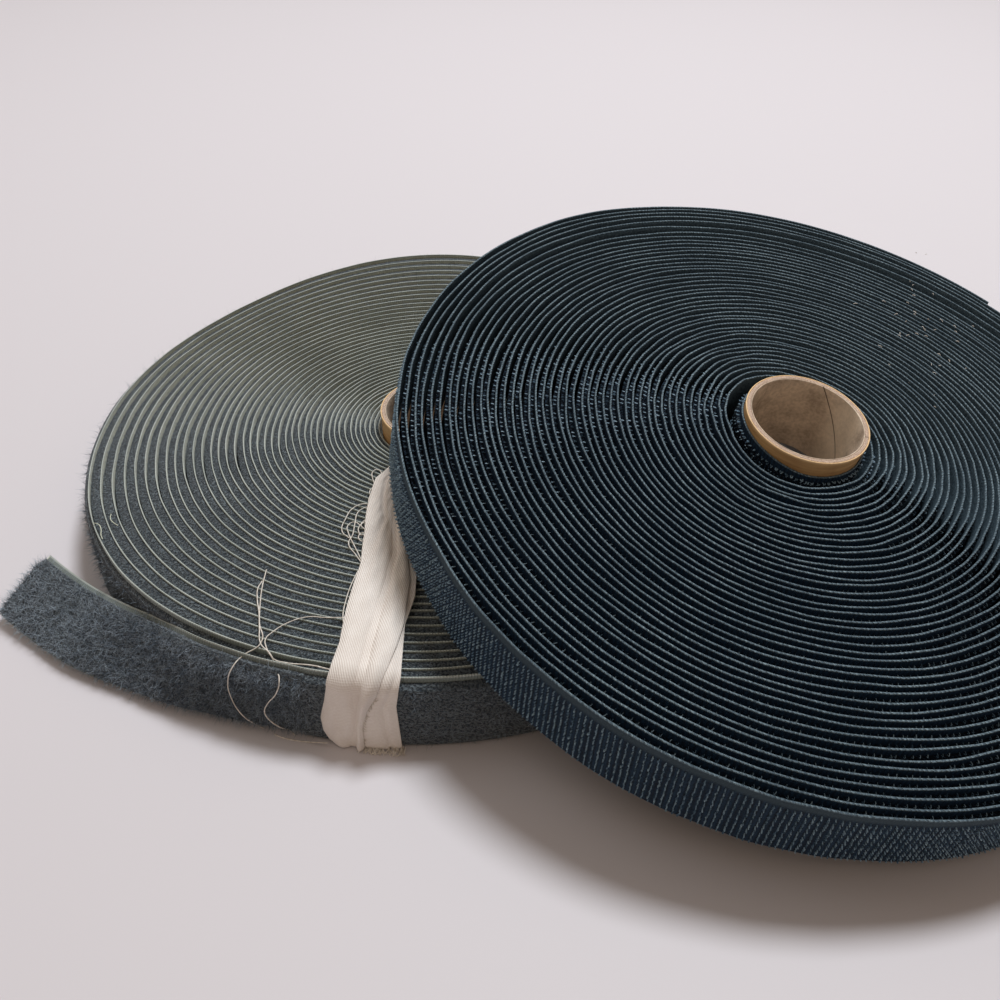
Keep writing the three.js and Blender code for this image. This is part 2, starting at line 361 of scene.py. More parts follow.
def makeStudio():
    half = studio["floorSize"] / 2
    mesh = bpy.data.meshes.new("table")
    rim = [(-half, -half, 0), (half, -half, 0), (half, half, 0), (-half, half, 0)]
    mesh.from_pydata(rim, [], [(0, 1, 2, 3)])
    table = link(bpy.data.objects.new("table", mesh))
    material = bpy.data.materials.new("paleTable")
    material.use_nodes = True
    shader = material.node_tree.nodes["Principled BSDF"]
    shader.inputs["Base Color"].default_value = studio["floorTone"]
    shader.inputs["Roughness"].default_value = studio["floorRoughness"]
    mesh.materials.append(material)
    world = bpy.data.worlds.new("studioAir")
    world.use_nodes = True
    bpy.context.scene.world = world
    tree = world.node_tree
    tree.nodes.clear()
    rays = addNode(tree, "ShaderNodeLightPath").socket.node.outputs
    seen = Wire(tree, rays["Is Camera Ray"]).most(Wire(tree, rays["Is Glossy Ray"]))
    lit, shown = (
        addNode(tree, "ShaderNodeBackground", {"Color": colour, "Strength": strength})
        for colour, strength in ((studio["airTone"], studio["airStrength"]), (studio["floorTone"], 1.0))
    )
    air = addNode(tree, "ShaderNodeMixShader", {0: seen, 1: lit, 2: shown})
    feed(tree, tree.nodes.new("ShaderNodeOutputWorld").inputs["Surface"], air)
    makeLamp("back")
    makeLamp("side")
    bpy.context.scene.view_settings.view_transform = "Standard"


makeStudio()
print("camera, table and lamps stand")


# Effects that several finishes share

def shaderGroup(name, inputs, outputs, build):
    group = bpy.data.node_groups.new(name, "ShaderNodeTree")
    for key, value in inputs.items():
        kind = "NodeSocketVector" if value is None else "NodeSocketFloat"
        socket = group.interface.new_socket(key, in_out="INPUT", socket_type=kind)
        if value is not None:
            socket.default_value = value
    for key in outputs:
        group.interface.new_socket(key, in_out="OUTPUT", socket_type="NodeSocketFloat")
    source = group.nodes.new("NodeGroupInput")
    made = build(group, {key: Wire(group, source.outputs[key]) for key in inputs})
    sink = group.nodes.new("NodeGroupOutput")
    for key, wire in zip(outputs, made):
        feed(group, sink.inputs[key], wire)
    return group


def useGroup(tree, group, inputs):
    node = addNode(tree, "ShaderNodeGroup", inputs, node_tree=group).socket.node
    return [Wire(tree, socket) for socket in node.outputs]


def ribWave(tree, size):
    # slanted ribs, as twill lines or the bound threads along a woven edge
    phase = (size["Along"] + size["Across"] * size["Slant"]) / size["Pitch"]
    wobble = noise(tree, join(tree, size["Along"], size["Across"], 0.0), 900.0) * size["Wobble"]
    wave = ((phase + wobble) * math.tau).sum("SINE") * 0.5 + 0.5
    return [wave, wave.sum("POWER", size["Sharpness"])]


ribs = shaderGroup(
    "ribs",
    {"Along": 0.0, "Across": 0.0, "Pitch": 0.001, "Slant": 0.0, "Wobble": 0.1, "Sharpness": 2.0},
    ("Wave", "Crest"),
    ribWave,
)


def fuzzyMask(tree, size):
    # fine specks over slow patches
    fine, slow = (
        addNode(tree, "ShaderNodeTexNoise", {"Vector": size["Place"], "Scale": size[key], "Detail": detail})
        for key, detail in (("Fine", 3.0), ("Slow", 2.0))
    )
    return [fine.ramp(0.5 - size["Softness"], 0.5 + size["Softness"]), slow.ramp(0.3, 0.7)]


fuzz = shaderGroup(
    "fuzz",
    {"Place": None, "Fine": 1500.0, "Slow": 60.0, "Softness": 0.15},
    ("Specks", "Patches"),
    fuzzyMask,
)


def blendTones(tree, share, low, high):
    return addNode(tree, "ShaderNodeMix", {0: share, 6: low, 7: high}, output=2, data_type="RGBA")


def finish(name, build, **fixed):
    # a material whose shader takes its plain values from fixed and its patterns from build
    material = bpy.data.materials.new(name)
    material.use_nodes = True
    tree = material.node_tree
    shader = tree.nodes["Principled BSDF"]
    for key, value in fixed.items():
        shader.inputs[key.replace("_", " ")].default_value = value
    place = addNode(tree, "ShaderNodeTexCoord", output="Object")
    for key, wire in build(tree, place).items():
        feed(tree, shader.inputs[key], wire)
    return material


def bump(tree, height, depth):
    return addNode(tree, "ShaderNodeBump", {"Height": height, "Distance": depth}, output="Normal")


def attributes(tree, *names):
    return [addNode(tree, "ShaderNodeAttribute", output="Fac", attribute_name=name) for name in names]


# Finishes of both tapes. Each tape knows where it is by its own stored lengths: along the tape, across its
# width and through its thickness. A pair of tones is dark first, then light.

tapeWidth = 25 * mm
wallColumnPitch = 1.5 * mm
wallColumnSlant = 0.1
hookTurns = 45.0

hookWeave = {
    "edge": (tone(64, 80, 92), tone(142, 162, 172)),
    "back": (tone(60, 78, 90), tone(90, 110, 122)),
    "front": (tone(5, 16, 27), tone(26, 50, 70)),
    "selvedge": tone(50, 64, 72),
    # painted shade of the deep gaps between turns, near black, lighter where painted glints mark the hook
    # tops
    "fieldShade": (tone(4, 8, 16), tone(48, 66, 86)),
    "hooks": (tone(78, 104, 124), tone(150, 176, 192)),
    "binding": {"Pitch": 1.3 * mm, "Slant": 0.8, "Wobble": 0.6},
    "columns": {"Pitch": wallColumnPitch, "Slant": -wallColumnSlant, "Wobble": 0.04},
    # lighter dots on the near black: painted glints on the hook tops
    "hookTopGlints": {"Pitch": 1.2 * mm, "Slant": 0.9, "Wobble": 0.3, "Sharpness": 5.0},
    "fuzz": {"Fine": 1300.0, "Slow": 45.0, "Softness": 0.2},
    "fieldFuzz": {"Fine": 1700.0, "Slow": 45.0, "Softness": 0.12},
    "edgeHeight": 0.4 * mm,     # this much of the width shows as the edge
    "farFace": 0.35 * mm,       # what lies further out than this is the side with the hooks
    "bareFrom": 20.8 * mm, "bareTo": 23.0 * mm, "bareTurns": 1.02,
    "relief": 0.35 * mm,
}


def hookTapeLook(tree, place):
    weave = hookWeave
    along, across, depth, turn = attributes(tree, "along", "across", "depth", "turn")
    _, crest = useGroup(tree, ribs, {"Along": along, "Across": depth, **weave["binding"]})
    columns, _ = useGroup(tree, ribs, {"Along": along, "Across": across, **weave["columns"]})
    specks, patches = useGroup(tree, fuzz, {"Place": place, **weave["fuzz"]})
    atEdge = across.above(tapeWidth - weave["edgeHeight"])
    plain = blendTones(tree, specks, *weave["back"])
    hooked = blendTones(tree, specks * 0.4 + columns * 0.5, *weave["front"])
    bare = across.ramp(weave["bareFrom"], weave["bareTo"]) * turn.above(hookTurns - weave["bareTurns"])
    hooked = blendTones(tree, bare, hooked, weave["selvedge"])
    faces = blendTones(tree, depth.above(weave["farFace"]), plain, hooked)
    bound = (crest * 0.55 + specks * 0.45) * (patches * 0.5 + 0.6)
    shade = blendTones(tree, atEdge, faces, blendTones(tree, bound, *weave["edge"]))
    return {"Base Color": shade, "Normal": bump(tree, crest * atEdge + specks * 0.4, weave["relief"])}


def hookFieldShadeLook(tree, place):
    # the mass of hooks deep between two turns: near black as painted shade, with lighter dots as painted
    # glints on the hook tops
    along, depth = attributes(tree, "along", "depth")
    _, hookTopGlints = useGroup(tree, ribs, {"Along": along, "Across": depth, **hookWeave["hookTopGlints"]})
    specks, _ = useGroup(tree, fuzz, {"Place": place, **hookWeave["fieldFuzz"]})
    return {"Base Color": blendTones(tree, hookTopGlints * specks, *hookWeave["fieldShade"])}


def hookLook(tree, place):
    return {"Base Color": blendTones(tree, attributes(tree, "tint")[0], *hookWeave["hooks"])}


plainStrip = {
    "nearFace": 0.0, "clearance": 0.2 * mm, "fill": 0.0, "endShare": 1.0,
    "lowEdge": 0.0, "highEdge": tapeWidth,
    "selvedge": 0.0, "droop": 0.0, "press": 0.0, "steps": 6600, "sides": 8,
}
backing = {**plainStrip, "farFace": 0.42 * mm, "lowEdge": 0.3 * mm, "bevel": 0.12 * mm}
freeEndMark = 99.0      # the turn that the free end's points carry
loopWeave = {
    "edge": (tone(154, 162, 156), tone(196, 202, 196)),
    "back": (tone(194, 200, 182), tone(222, 226, 204)),
    "outer": tone(96, 108, 110),
    "pile": (tone(46, 55, 64), tone(106, 117, 124)),
    "fibreTip": (tone(56, 74, 94), tone(186, 200, 212)),
    # painted shade deep in the pile, at each fibre's root
    "fibreRootShade": tone(24, 35, 48),
    "courses": {"Pitch": 0.9 * mm, "Wobble": 0.3},
    "backFuzz": {"Fine": 1500.0, "Slow": 50.0, "Softness": 0.25},
    "pileFuzz": {"Fine": 1400.0, "Slow": 55.0, "Softness": 0.14},
    "clumps": {"Fine": 300.0, "Slow": 60.0, "Softness": 0.1},
    "edgeHeight": 0.5 * mm,
    "outerShare": 0.45,         # what lies further out than this share of the backing is its outer side
    # painted light: the free end's fibres grow lighter towards its tip, where light catches it
    "tipLightFrom": 60 * mm, "tipLightTo": 116 * mm,    # along the free end, where its pile grows paler
    "backRelief": 0.15 * mm, "pileRelief": 0.6 * mm,
}


def loopBackLook(tree, place):
    weave = loopWeave
    along, across, depth = attributes(tree, "along", "across", "depth")
    wave, crest = useGroup(tree, ribs, {"Along": along, "Across": across, **weave["courses"]})
    specks, patches = useGroup(tree, fuzz, {"Place": place, **weave["backFuzz"]})
    atEdge = across.above(tapeWidth - weave["edgeHeight"])
    edge = blendTones(tree, crest * 0.5 + patches * 0.5, *weave["edge"])
    face = blendTones(tree, specks, *weave["back"])
    outside = depth.above(backing["farFace"] * weave["outerShare"])
    face = blendTones(tree, outside * 0.85, face, weave["outer"])
    shade = blendTones(tree, atEdge, face, edge)
    return {"Base Color": shade, "Normal": bump(tree, wave, weave["backRelief"])}


def loopPileLook(tree, place):
    specks, patches = useGroup(tree, fuzz, {"Place": place, **loopWeave["pileFuzz"]})
    shade = blendTones(tree, specks * (patches * 0.35 + 0.65), *loopWeave["pile"])
    return {"Base Color": shade, "Normal": bump(tree, specks, loopWeave["pileRelief"])}


def pileFibreLook(tree, place):
    # painted shade at the root, fading to the lighter tip tone, in light and dark clumps
    tint, climb, turn, along = attributes(tree, "tint", "climb", "turn", "along")
    clumps, patches = useGroup(tree, fuzz, {"Place": place, **loopWeave["clumps"]})
    # painted light towards the free end's tip
    litTip = turn.above(freeEndMark - 1) * along.ramp(loopWeave["tipLightFrom"], loopWeave["tipLightTo"])
    share = tint * 0.35 + clumps * 0.4 + patches * 0.25 + litTip * 0.6
    tip = blendTones(tree, share, *loopWeave["fibreTip"])
    return {"Base Color": blendTones(tree, climb.ramp(0.0, 0.8), loopWeave["fibreRootShade"], tip)}


hookTapeFinish = finish("navyHookTape", hookTapeLook, Roughness=0.8, Specular_IOR_Level=0.25)
hookFinish = finish("navyHooks", hookLook, Roughness=0.5, Specular_IOR_Level=0.35)
hookFieldShadeFinish = finish("navyHookField", hookFieldShadeLook, Roughness=0.9, Specular_IOR_Level=0.15)
loopBackFinish = finish("sageBacking", loopBackLook, Roughness=0.9, Sheen_Weight=0.3)
loopPileFinish = finish("greyPile", loopPileLook, Roughness=0.95, Sheen_Weight=0.25, Specular_IOR_Level=0.2)
pileFibreFinish = finish(
    "greyPileFibres", pileFibreLook, Roughness=0.8, Sheen_Weight=0.25, Specular_IOR_Level=0.3)


# Windings. Both rolls follow one rule: a strip that spirals out clockwise, seen from above, with a pitch that
# grows from the first turn to the last. The same rule places hooks on it.

def hump(angle, middle, spread):
    # 1 at the middle angle, falling to nothing on both sides
    away = (angle - middle).sum("WRAP", 180.0, -180.0) / spread
    return (away * away * -1).sum("EXPONENT")


def spiral(tree, size, turn, depth, height):
    growth = (size["lastPitch"] - size["firstPitch"]) / size["turns"] * 0.5
    line = size["startRadius"] + turn * size["firstPitch"] + turn * turn * growth
    angle = (size["turns"] - turn) * 360 + size["endAngle"]
    radian = angle * degree
    east, north = radian.sum("COSINE"), radian.sum("SINE")
    outness = line / size["endRadius"]

    def uneven(fineness, pace, detail=1.0, start=0.0):
        place = join(tree, east * fineness, north * fineness, turn * pace + size["seed"] + start)
        return noise(tree, place, 1.0, detail)

    def towards(side):
        return (radian - size[side] * degree).sum("COSINE")

    # how far out
    swell = 0
    for side in ("A", "B", "C"):
        bulge = hump(angle, size["bulgeAngle" + side], size["bulgeSpread" + side])
        swell = bulge * size["bulgeHeight" + side] + swell
    swell = swell * outness.sum("POWER", size["bulgeFade"])
    loose = (size["turns"] - turn).ramp(0.0, 0.25)
    hug = 1 - turn.ramp(0.9, 1.15)
    sway = uneven(2.2, 0.45, 2.0) * size["drift"] + uneven(2.5, 2.3) * size["ripple"]
    sway = sway + uneven(9, 1.7) * size["wave"]
    radius = line + depth + swell + sway * loose * (1 - hug)
    offCentre = towards("hugAngle") * size["hugShift"]
    radius = radius - hug * (turn * size["firstPitch"] + size["hugDepth"] - offCentre) * size["hugShare"]
    slack = hump(angle, size["slackAngle"], size["slackSpread"])
    slack = slack * turn.ramp(size["slackFrom"], size["slackFrom"] + 0.4)
    radius = radius + slack * (1 - turn.ramp(size["slackFrom"], size["slackTo"])) * size["slack"]
    lateness = (turn - size["turns"] + size["flareTurns"]).ramp(0.0, size["flareTurns"])
    radius = radius + lateness * (1 - height / size["width"]) * size["flare"]

    # how far up
    rise = (uneven(1.3, 1.3, 1.0, 40.0) + size["staggerSide"]) * size["stagger"] * loose
    rise = rise + (1 - outness * outness) * size["dome"]
    rise = rise + towards("heaveAngle").ramp(-0.2, 1.0) * (1 - outness.ramp(0.15, 0.5)) * size["heave"]
    lip = outness.ramp(size["lipFrom"], size["lipTo"]) * towards("lipAngle").ramp(-0.1, 0.9)
    rise = rise + lip * size["lip"]
    place = join(tree, radius * east, radius * north, height + rise)
    outward = join(tree, east, north, 0.0)
    ahead = join(tree, north, east * -1, 0.0)
    spread = swell / line * size["bulgeFade"] + 1
    return place, outward, ahead, spread


def turnAt(size, share):
    # equal shares are about equal lengths of tape
    start = size["startRadius"] / (size["endRadius"] - size["startRadius"])
    whole = (start + 1) * (start + 1) - start * start
    return ((share * whole + start * start).sum("SQRT") - start) * size["turns"]


def lengthAt(size, turn):
    growth = (size["lastPitch"] - size["firstPitch"]) / size["turns"]
    start, pitch = size["startRadius"], size["firstPitch"]
    return turn * (start + turn * pitch * 0.5 + turn * turn * growth / 6) * math.tau


def pitchAt(size, turn):
    return size["firstPitch"] + turn * (size["lastPitch"] - size["firstPitch"]) / size["turns"]


def windingTree(sizes):
    # one closed strip, from its near face to its far face and from its low edge to its high edge
    tree, size = geometryTree("windStrip", sizes)
    line = addNode(tree, "GeometryNodeCurvePrimitiveLine")
    line = addNode(tree, "GeometryNodeResampleCurve", {"Curve": line, "Count": size["steps"]})
    line = store(tree, line, "share", addNode(tree, "GeometryNodeSplineParameter"))
    ring = addNode(tree, "GeometryNodeCurvePrimitiveCircle", {"Resolution": size["sides"], "Radius": 1.0})
    ring = store(tree, ring, "ring", addNode(tree, "GeometryNodeInputPosition"), kind="FLOAT_VECTOR")
    mesh = addNode(tree, "GeometryNodeCurveToMesh", {"Curve": line, "Profile Curve": ring, "Fill Caps": True})
    x, y, _ = parts(tree, stored(tree, "ring", "FLOAT_VECTOR"))
    turned = math.pi / sizes["sides"]
    out = x * math.cos(turned) - y * math.sin(turned)
    up = x * math.sin(turned) + y * math.cos(turned)
    turn = turnAt(size, stored(tree, "share") * size["endShare"])
    near = size["nearFace"]
    _, _, _, spread = spiral(tree, size, turn, near, near)
    covered = 1 - turn.ramp(size["turns"] - 1.05, size["turns"] - 0.97)
    room = pitchAt(size, turn) * spread - size["clearance"]
    far = (size["farFace"] + covered * size["fill"]).least(room)
    # pressed flat where the free end lies against the last turn
    pressed = turn.ramp(size["turns"] - 1.05, size["turns"] - 1.0)
    pressed = pressed * (1 - turn.ramp(size["turns"] - 0.87, size["turns"] - 0.76)) * size["press"]
    far = far - (far - near) * pressed
    bevel = size["bevel"]
    depth = (near + far) * 0.5 + out.sum("SIGN") * ((far - near) * 0.5 - bevel) + out * bevel
    high = size["highEdge"] - (1 - covered) * size["selvedge"]
    tall = high - size["lowEdge"]
    height = (high + size["lowEdge"]) * 0.5 + up.sum("SIGN") * (tall * 0.5 - bevel) + up * bevel
    droop = (depth - near) / (far - near) * size["droop"] * up.above(0.0)
    place, _, _, _ = spiral(tree, size, turn, depth, height - droop)
    marks = {"turn": turn, "along": lengthAt(size, turn), "across": height, "depth": depth}
    for name, value in marks.items():
        mesh = store(tree, mesh, name, value)
    mesh = addNode(tree, "GeometryNodeSetPosition", {"Geometry": mesh, "Position": place})
    endTree(tree, mesh, size["finish"])
    return tree


def windingSizes(roll, **more):
    sizes = {**roll, **more}
    sizes["lastPitch"] = 2 * (roll["endRadius"] - roll["startRadius"]) / roll["turns"] - roll["firstPitch"]
    return sizes


def windStrip(name, roll, strip, place):
    sizes = windingSizes(roll, **strip)
    return grow(name, windingTree(sizes), sizes, place=place)


def hookTree(sizes):
    # rows of hooks that stand out from the tape's far face
    tree, size = geometryTree("hookRows", sizes)
    points = addNode(tree, "GeometryNodePoints", {"Count": size["rows"] * size["columns"]})
    index = addNode(tree, "GeometryNodeInputIndex")
    column = (index / size["rows"]).sum("FLOOR")
    row = index - column * size["rows"]
    jitter, lift, swing = (chance(tree, size["seed"] + k) for k in range(3))
    shift = (column + row * size["slant"] + jitter * size["unevenness"]) / size["columns"]
    share = size["shareFrom"] + shift * (size["shareTo"] - size["shareFrom"])
    turn = turnAt(size, share.least(1.0))
    height = size["lowRow"] + (row + lift * size["unevenness"]) * size["rowPitch"]
    place, outward, ahead, _ = spiral(tree, size, turn, size["farFace"], height)
    points = addNode(tree, "GeometryNodeSetPosition", {"Geometry": points, "Position": place})
    base = addNode(tree, "FunctionNodeAxesToRotation", {"Primary Axis": outward, "Secondary Axis": ahead})
    flip = row.sum("MODULO", 2.0) * math.pi * size["alternate"]
    facing = flip + swing * size["twist"] + size["facing"]
    turned = turnBy(tree, base, swing * size["lean"], jitter * size["lean"], facing)
    reach, bent = size["reach"], size["reach"] * size["curl"]
    path = addNode(tree, "GeometryNodeCurveQuadraticBezier", {
        "Resolution": size["segments"],
        "Start": join(tree, 0.0, 0.0, size["root"] * -1),
        "Middle": join(tree, bent * 0.1, 0.0, reach * 1.7),
        "End": join(tree, bent, 0.0, reach * 0.45),
    })
    wire = addNode(tree, "GeometryNodeCurvePrimitiveCircle", {"Resolution": 3, "Radius": size["wireRadius"]})
    hook = addNode(tree, "GeometryNodeCurveToMesh", {"Curve": path, "Profile Curve": wire, "Fill Caps": True})
    planted = {"Points": points, "Instance": hook, "Rotation": turned}
    plant(tree, planted, lift * 0.15 + 1, swing, size["finish"])
    return tree


def fibreTree(sizes):
    # short curled fibres over a pile's top, and over the outer side of its last turn
    tree, size = geometryTree("pileFibres", sizes, onMesh=True)
    across, depth, turn = (stored(tree, name) for name in ("across", "depth", "turn"))
    chosen = across.above(size["above"]) * depth.above(size["pastDepth"])
    chosen = chosen * turn.above(size["pastTurn"]) * (1 - turn.above(size["beforeTurn"]))
    chosen = chosen * (1 - across.above(size["below"]))
    x, y, _ = parts(tree, addNode(tree, "GeometryNodeInputPosition"))
    x, y = x - size["axisX"], y - size["axisY"]
    angle = y.sum("ARCTAN2", x) / degree
    underTie = angle.above(size["bareFrom"]) * (1 - angle.above(size["bareTo"]))
    underTie = underTie * (x * x + y * y).above(size["barePast"] * size["barePast"])
    chosen = chosen * (1 - underTie)
    scatter = addNode(tree, "GeometryNodeDistributePointsOnFaces", {
        "Mesh": size["Geometry"], "Selection": chosen, "Density": size["density"], "Seed": size["seed"]})
    facing = Wire(tree, scatter.socket.node.outputs["Rotation"])
    tiltX, tiltY, roll, stretch = (chance(tree, size["seed"] + k) for k in range(1, 5))
    turned = turnBy(tree, facing, tiltX * size["lean"], tiltY * size["lean"], roll * math.pi)
    long = size["fibreLength"]
    fibre = addNode(tree, "GeometryNodeMeshCone", {
        "Vertices": 3, "Side Segments": size["segments"], "Radius Top": 0.0,
        "Radius Bottom": size["fibreRadius"], "Depth": long})
    _, _, climb = parts(tree, addNode(tree, "GeometryNodeInputPosition"))
    fibre = store(tree, fibre, "climb", climb / long)
    bend = climb * climb / long * size["curl"]
    offset = join(tree, bend, 0.0, long * -0.15)
    fibre = addNode(tree, "GeometryNodeSetPosition", {"Geometry": fibre, "Offset": offset})
    # the selection is asked again at each point, because on faces it fades between corners
    planted = {"Points": scatter, "Selection": chosen, "Instance": fibre, "Rotation": turned}
    plant(tree, planted, stretch * 0.35 + 0.85, roll, size["finish"])
    return tree


plainRoll = {
    "width": tapeWidth,
    "hugShare": 0.0, "hugDepth": 0.0, "hugShift": 0.0, "hugAngle": 0.0,
    "heave": 0.0, "heaveAngle": 0.0,
    "slack": 0.0, "slackAngle": 0.0, "slackSpread": 40.0, "slackFrom": 0.5, "slackTo": 20.0,
    "flare": 0.0, "flareTurns": 1.0,
    "dome": 0.0,
    "lip": 0.0, "lipAngle": 0.0, "lipFrom": 0.9, "lipTo": 1.0,
}


# Hook roll

hookRoll = {
    **plainRoll,
    "turns": hookTurns,
    "startRadius": 22.0 * mm,
    "endRadius": 134.7 * mm,
    "firstPitch": 2.3 * mm,
    "endAngle": 60.0,
    "bulgeAngleA": 0.0, "bulgeHeightA": 0.0, "bulgeSpreadA": 30.0,
    "bulgeAngleB": 180.0, "bulgeHeightB": 0.0, "bulgeSpreadB": 30.0,
    "bulgeAngleC": -60.0, "bulgeHeightC": 1.3 * mm, "bulgeSpreadC": 30.0,
    "bulgeFade": 4.0,
    "hugShare": 1.0, "hugDepth": 1.1 * mm, "hugShift": coreFit["hookShift"], "hugAngle": 55.0,
    "heave": 3.2 * mm, "heaveAngle": 185.0,
    "drift": 0.8 * mm, "ripple": 0.75 * mm, "wave": 0.3 * mm,
    "stagger": 0.45 * mm, "staggerSide": 0.3,
    "dome": 3.6 * mm,
    "lip": 3.0 * mm, "lipAngle": 95.0, "lipFrom": 0.86, "lipTo": 0.93,
    "slack": 2.2 * mm, "slackAngle": -115.0, "slackSpread": 30.0, "slackTo": 22.0,
    "seed": 3,
}
hookBacking = {
    **plainStrip, "farFace": 0.6 * mm, "bevel": 0.18 * mm, "steps": 8200, "finish": hookTapeFinish,
}
# a dark sheet deep in the gaps between turns, standing for the hooks there; its near black is painted shade
hookField = {
    **plainStrip, "nearFace": 0.56 * mm, "farFace": 1.6 * mm, "endShare": 0.95,
    "lowEdge": 1.0 * mm, "highEdge": 21.6 * mm, "bevel": 0.0, "steps": 5000, "sides": 4,
    "finish": hookFieldShadeFinish,
}
wallRowPitch = 1.26 * mm
wallHooks = {
    "farFace": 0.56 * mm,
    "rows": 17, "lowRow": 1.2 * mm, "rowPitch": wallRowPitch, "columns": 282,
    "slant": wallColumnSlant * wallRowPitch / wallColumnPitch, "unevenness": 0.05,
    "reach": 0.8 * mm, "root": 0.2 * mm, "curl": 0.35, "segments": 4, "wireRadius": 0.2 * mm,
    "lean": 0.25, "twist": 1.2, "facing": 1.57, "alternate": 1.0,
    "finish": hookFinish,
}
gapHooks = {
    **wallHooks,
    "rows": 1, "columns": 9700, "shareFrom": 0.002, "shareTo": 0.97, "unevenness": 0.2,
    "reach": 1.0 * mm, "curl": 0.6, "segments": 3, "wireRadius": 0.15 * mm,
    "lean": 0.3, "twist": 0.6, "facing": 0.5,
}
gapRows = {"hooksInGapsHigh": 22.3 * mm, "hooksInGapsLow": 20.7 * mm}
coreHooks = {
    **gapHooks,
    "rows": 10, "lowRow": 9.0 * mm, "rowPitch": 1.5 * mm, "reach": 1.2 * mm, "wireRadius": 0.2 * mm,
    "columns": 110, "shareFrom": 0.0, "shareTo": 0.0099,
}


def onHookRoll(piece):
    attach(piece, "hook_roll")
    return piece


def wearHooks(name, **hooks):
    sizes = windingSizes(hookRoll, **hooks)
    onHookRoll(grow(name, hookTree(sizes), sizes, place=hookPlace, sharpAngle=80))


def makeHookRoll():
    tape = onHookRoll(windStrip("hookTape", hookRoll, hookBacking, hookPlace))
    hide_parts("hook_tape")
    onHookRoll(windStrip("hookField", hookRoll, hookField, hookPlace))
    lastTurn = 1 - 2 / hookRoll["turns"]    # as a share of the tape's length
    halfWay = 1 - 1 / hookRoll["turns"]
    wearHooks("hooksOnWallA", **wallHooks, shareFrom=lastTurn, shareTo=halfWay)
    wearHooks("hooksOnWallB", **wallHooks, shareFrom=halfWay, shareTo=1.0)
    wearHooks("hooksBesideCore", **coreHooks)
    for name, row in gapRows.items():
        wearHooks(name, **{**gapHooks, "lowRow": row})


makeHookRoll()
print("hook roll wound")


# Loop roll: a pale backing with brushed pile on its outer side

loopRoll = {
    **plainRoll,
    "turns": 40.0,
    "startRadius": 21.5 * mm,
    "endRadius": 123.95 * mm,
    "firstPitch": 1.65 * mm,
    "endAngle": -88.0,
    "bulgeAngleA": 108.0, "bulgeHeightA": 22.0 * mm, "bulgeSpreadA": 36.0,
    "bulgeAngleB": -128.0, "bulgeHeightB": 6.4 * mm, "bulgeSpreadB": 34.0,
    "bulgeAngleC": -178.0, "bulgeHeightC": 2.2 * mm, "bulgeSpreadC": 24.0,
    "bulgeFade": 4.5,
    "drift": 0.8 * mm, "ripple": 0.3 * mm, "wave": 0.12 * mm,
    "flare": 3.0 * mm, "flareTurns": 1.3,
    "stagger": 0.25 * mm, "staggerSide": -1.0,
    "seed": 8,
}
pile = {
    **plainStrip, "nearFace": 0.4 * mm, "farFace": 3.0 * mm, "clearance": 0.1 * mm, "fill": 4.0 * mm,
    "lowEdge": 0.8 * mm, "highEdge": tapeWidth - 0.6 * mm, "selvedge": 1.1 * mm, "droop": 0.95 * mm,
    "bevel": 0.4 * mm, "press": 0.45, "finish": loopPileFinish,
}
fibres = {
    "above": 23.0 * mm, "below": 30.0 * mm, "pastTurn": 38.98, "beforeTurn": 200.0, "pastDepth": 0.6 * mm,
    "density": 1.5e6, "segments": 1,
    "fibreLength": 1.2 * mm, "fibreRadius": 0.08 * mm, "lean": 0.9, "curl": 0.5,
    "axisX": loopMiddle.x, "axisY": loopMiddle.y, "bareFrom": -86.0, "bareTo": -74.4, "barePast": 55 * mm,
    "finish": pileFibreFinish,
}
longFibres = {
    **fibres,
    "above": 1.2 * mm, "below": 23.1 * mm, "segments": 2,
    "fibreLength": 3.0 * mm, "fibreRadius": 0.1 * mm, "lean": 1.15, "curl": 0.9,
}
brushing = {    # the turns that each piece covers, its seed and its fibres
    "loopFuzzInner": (-1.0, 28.0, 5, fibres),
    "loopFuzzOuter": (28.0, 39.07, 6, fibres),
    "loopFuzzWallA": (39.07, 39.5, 21, longFibres),
    "loopFuzzWallB": (39.5, 41.0, 22, longFibres),
}


def growFibres(name, base, sizes):
    return grow(name, fibreTree(sizes), sizes, base=base.data, sharpAngle=80)


def makeLoopRoll():
    tape = windStrip("loopBacking", loopRoll, {**backing, "finish": loopBackFinish}, loopPlace)
    brushed = windStrip("loopPile", loopRoll, pile, loopPlace)
    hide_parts("loop_tape")
    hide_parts("loop_tape")
    fuzzes = [
        growFibres(name, brushed, {**sort, "pastTurn": first, "beforeTurn": last, "seed": seed})
        for name, (first, last, seed, sort) in brushing.items()
    ]
    for piece in (tape, brushed, *fuzzes):
        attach(piece, "loop_roll")


makeLoopRoll()
print("loop roll wound")


# Pieces that are laid out section by section

def gridMesh(name, places, marks, closedRows=0, closedColumns=0):
    # one mesh from rows of places, with each point's marks stored on it
    rows, count = places.shape[:2]
    index = np.arange(rows * count).reshape(rows, count)
    index = np.pad(index, ((0, closedRows), (0, closedColumns)), mode="wrap")
    faces = np.stack([index[:-1, :-1], index[:-1, 1:], index[1:, 1:], index[1:, :-1]], axis=-1)
    faces = faces.reshape(-1, 4).tolist()
    if closedColumns and not closedRows:
        faces += [index[0, :count][::-1].tolist(), index[-1, :count].tolist()]
    mesh = bpy.data.meshes.new(name)
    mesh.from_pydata(places.reshape(-1, 3).tolist(), [], faces)
    for key, values in marks.items():
        mesh.attributes.new(key, "FLOAT", "POINT").data.foreach_set("value", values.ravel())
    return mesh


def showPiece(mesh, material):
    mesh.materials.append(material)
    return link(bpy.data.objects.new(mesh.name, mesh))


# Free end of the loop tape: it leaves the roll beside the tie, bends out, curls back and leans over

